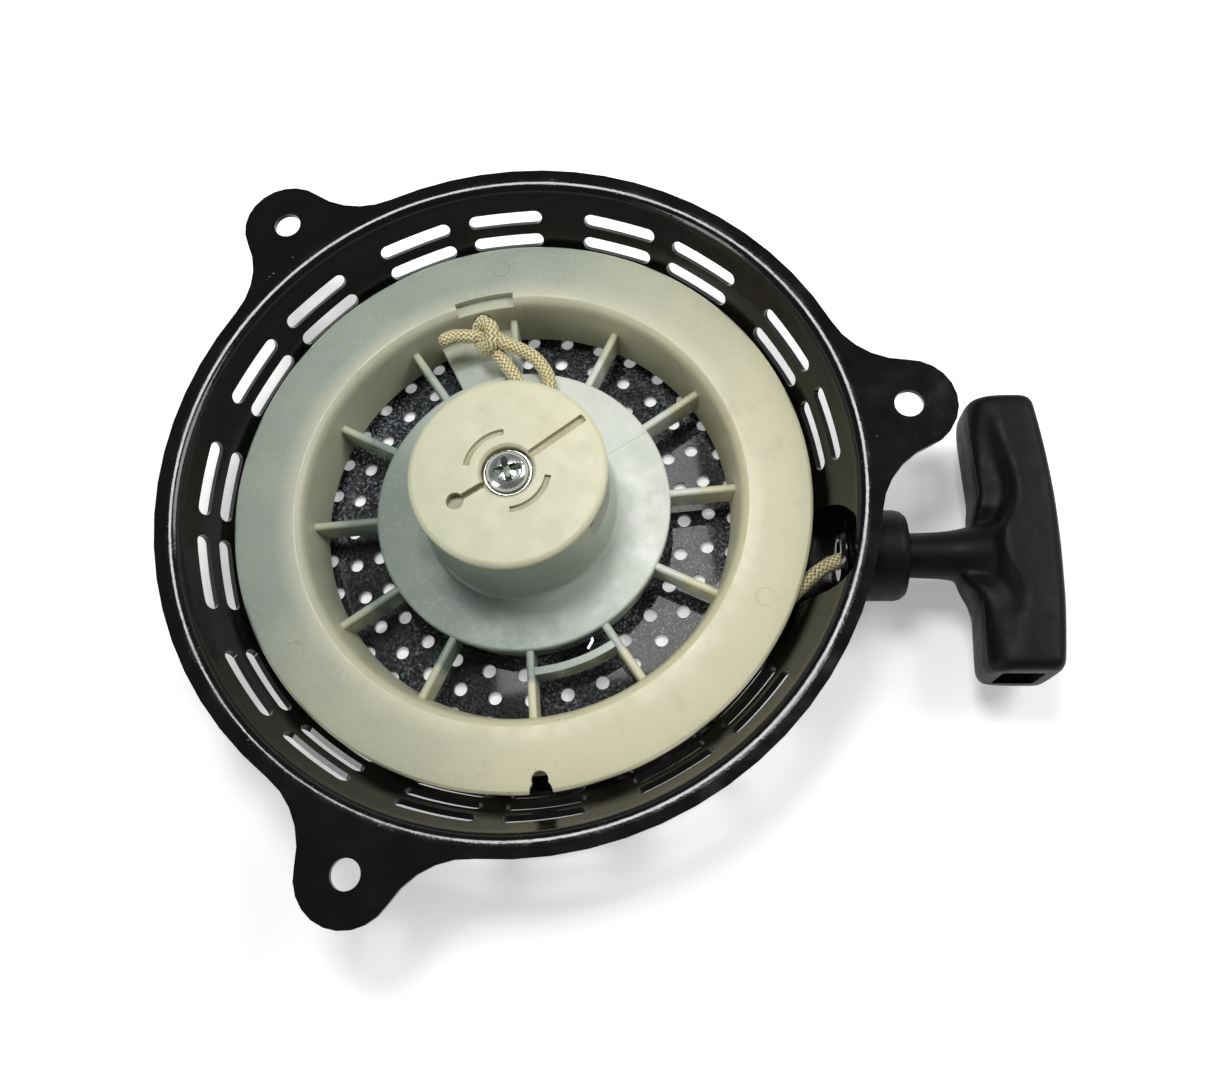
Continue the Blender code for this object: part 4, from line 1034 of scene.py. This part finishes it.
# ---------------------------------------------------------------- floor, light and camera

def add_area_light(name, place, target, size, power):
    """A rectangular light that faces its target."""
    lamp = bpy.data.lights.new(name, "AREA")
    lamp.shape = "RECTANGLE"
    lamp.size, lamp.size_y = size
    lamp.energy = power
    obj = linked(name, lamp)
    obj.location = place
    obj.rotation_euler = (Vector(target) - Vector(place)).to_track_quat("-Z", "Y").to_euler()


def set_world():
    """A room that is pale at the horizon and darker overhead, so that gloss black stays black."""
    world = bpy.data.worlds.new("studio")
    bpy.context.scene.world = world
    world.use_nodes = True
    nodes, links = world.node_tree.nodes, world.node_tree.links
    height = nodes.new("ShaderNodeSeparateXYZ")
    links.new(nodes.new("ShaderNodeTexCoord").outputs["Generated"], height.inputs[0])
    ramp = nodes.new("ShaderNodeMapRange")
    links.new(height.outputs["Z"], ramp.inputs["Value"])
    for name, value in zip(("From Min", "To Min", "From Max", "To Max"), HORIZON + OVERHEAD):
        ramp.inputs[name].default_value = value
    back = nodes["Background"]
    back.inputs["Color"].default_value = (1.0, 1.0, 1.0, 1.0)
    links.new(ramp.outputs["Result"], back.inputs["Strength"])


def set_stage():
    """The white floor just below the part, the room and the lights."""
    shape = bmesh.new()
    bmesh.ops.create_grid(shape, x_segments=4, y_segments=4, size=FLOOR_SIZE)
    floor = linked("floor", kept_mesh(shape, "floor"))
    floor.data.materials.append(floor_paper())
    floor.location.z = CAD_BOX[0][2] - FLOOR_DROP
    set_world()
    for light in LIGHTS:
        add_area_light(*light)


def set_camera():
    """The photo's camera, from the perspective fit of its circles."""
    camera = bpy.data.cameras.new("camera")
    camera.sensor_width = 36.0
    camera.lens = CAMERA_LENS
    camera.clip_start = 0.01
    obj = linked("camera", camera)
    place, target = Vector(CAMERA_PLACE), Vector(CAMERA_TARGET)
    look = (target - place).to_track_quat("-Z", "Y").to_matrix().to_4x4()
    obj.matrix_world = Matrix.Translation(place) @ look @ Matrix.Rotation(radians(CAMERA_ROLL), 4, "Z")
    bpy.context.scene.camera = obj
    bpy.context.scene.view_settings.view_transform = "Standard"


# ---------------------------------------------------------------- the scene

PAINT = gloss_paint()
# the first two colours paint shade and light across each part, the last two the hub's painted shadow and its
# lit side
PULLEY_NYLON = nylon("pulley_nylon", (0.275, 0.315, 0.268), (0.570, 0.550, 0.368), (0.190, 0.235, 0.205),
                     (0.590, 0.620, 0.550))
GUIDE_NYLON = nylon("guide_nylon", (0.50, 0.51, 0.36), (0.62, 0.60, 0.39), (0.50, 0.51, 0.35),
                    (0.63, 0.61, 0.42), 0.42, GUIDE_TOP * MM)
ROPE_BRAID = braided_rope()
BLACK = moulded_black()
# the zinc's dulling colour (0.10, 0.13, 0.09) also paints the shade in the screw's cross recess
ZINC = metal("bright_zinc", (0.80, 0.81, 0.82), 0.16, 0.30, (700, 700, 700), (0.10, 0.13, 0.09), 0.25, True)
STEEL = metal("turned_steel", (0.52, 0.52, 0.53), 0.24, 0.40)
SPRING_STEEL = metal("spring_steel", (0.36, 0.42, 0.50), 0.20, 0.34, (60, 60, 900))
PAWL_STEEL = metal("tumbled_steel", (0.42, 0.42, 0.41), 0.30, 0.48, (500, 500, 500))
FINISH = {"black_steel": PAINT, "steel": STEEL, "zinc": ZINC, "spring_steel": SPRING_STEEL,
          "pawl_steel": PAWL_STEEL, "nylon": PULLEY_NYLON, "nylon_guide": GUIDE_NYLON, "rope": ROPE_BRAID,
          "black_plastic": BLACK}

for part in frame["record"]["subparts"]:
    node = frame["nodes"][part["node"]]
    node.data.materials.clear()
    node.data.materials.append(FINISH[part["material_slot"]])

placed("bowl", housing_mesh(), PAINT, "housing", "black_steel", "housing")
placed("collar", rope_guide_mesh(), BLACK, "housing", "black_plastic", "rope_guide")
eyelet = [(3.4, 1.6), (3.7, 2.0), (4.3, 2.2), (7.0, 2.2), (7.5, 1.9), (7.6, 1.3), (6.8, 0.2), (4.3, 0.2),
          (3.7, 0.4), (3.4, 0.8)]
eyelet_place = along_x(POCKET_X - SHEET - GAP - 2.2 - GAP, PULL_Y, PULL_Z)
placed("eyelet", shaded(moved(turned_mesh(eyelet, 72), eyelet_place), 50), PAINT, "housing", "black_steel",
       "rope_eyelet")
placed("screw", screw_mesh(), ZINC, "housing", "zinc", "centre_screw")
lead = lead_route()
in_guide = Vector((LEAD_END, PULL_Y, PULL_Z))
placed("rope_to_guide", rope_mesh(lead[:-1] + [in_guide]), ROPE_BRAID, "housing", "rope", "rope_lead")
stretch = rope_mesh([in_guide + Vector((PAID_OUT_GAP, 0, 0)), lead[-1]], PAID_OUT_R)
paid_out = linked("rope_paid_out", stretch)
paid_out.data.materials.append(ROPE_BRAID)
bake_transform(paid_out)

pulley_nodes = [part["node"] for part in frame["record"]["subparts"] if part["material_slot"] == "nylon"]
placed("rope_pulley", pulley_mesh(), PULLEY_NYLON, "pulley", "nylon", *pulley_nodes)
placed("knotted_end", rope_mesh(knot_points(), round_end=True, frayed=True), ROPE_BRAID, "pulley", "rope",
       "rope_knot")
circle = [Vector((*polar(WOUND_R, a), WOUND_Z)) for a in range(0, 361, 6)]
placed("wound_rope", rope_mesh(circle, WOUND_ROPE_R), ROPE_BRAID, "pulley", "rope", "rope_winding")
placed("cap", guide_mesh(), GUIDE_NYLON, "ratchet_guide", "nylon_guide", "ratchet_guide")
placed("grip", grip_mesh(), BLACK, "handle", "black_plastic", "handle_grip")

set_stage()
set_camera()
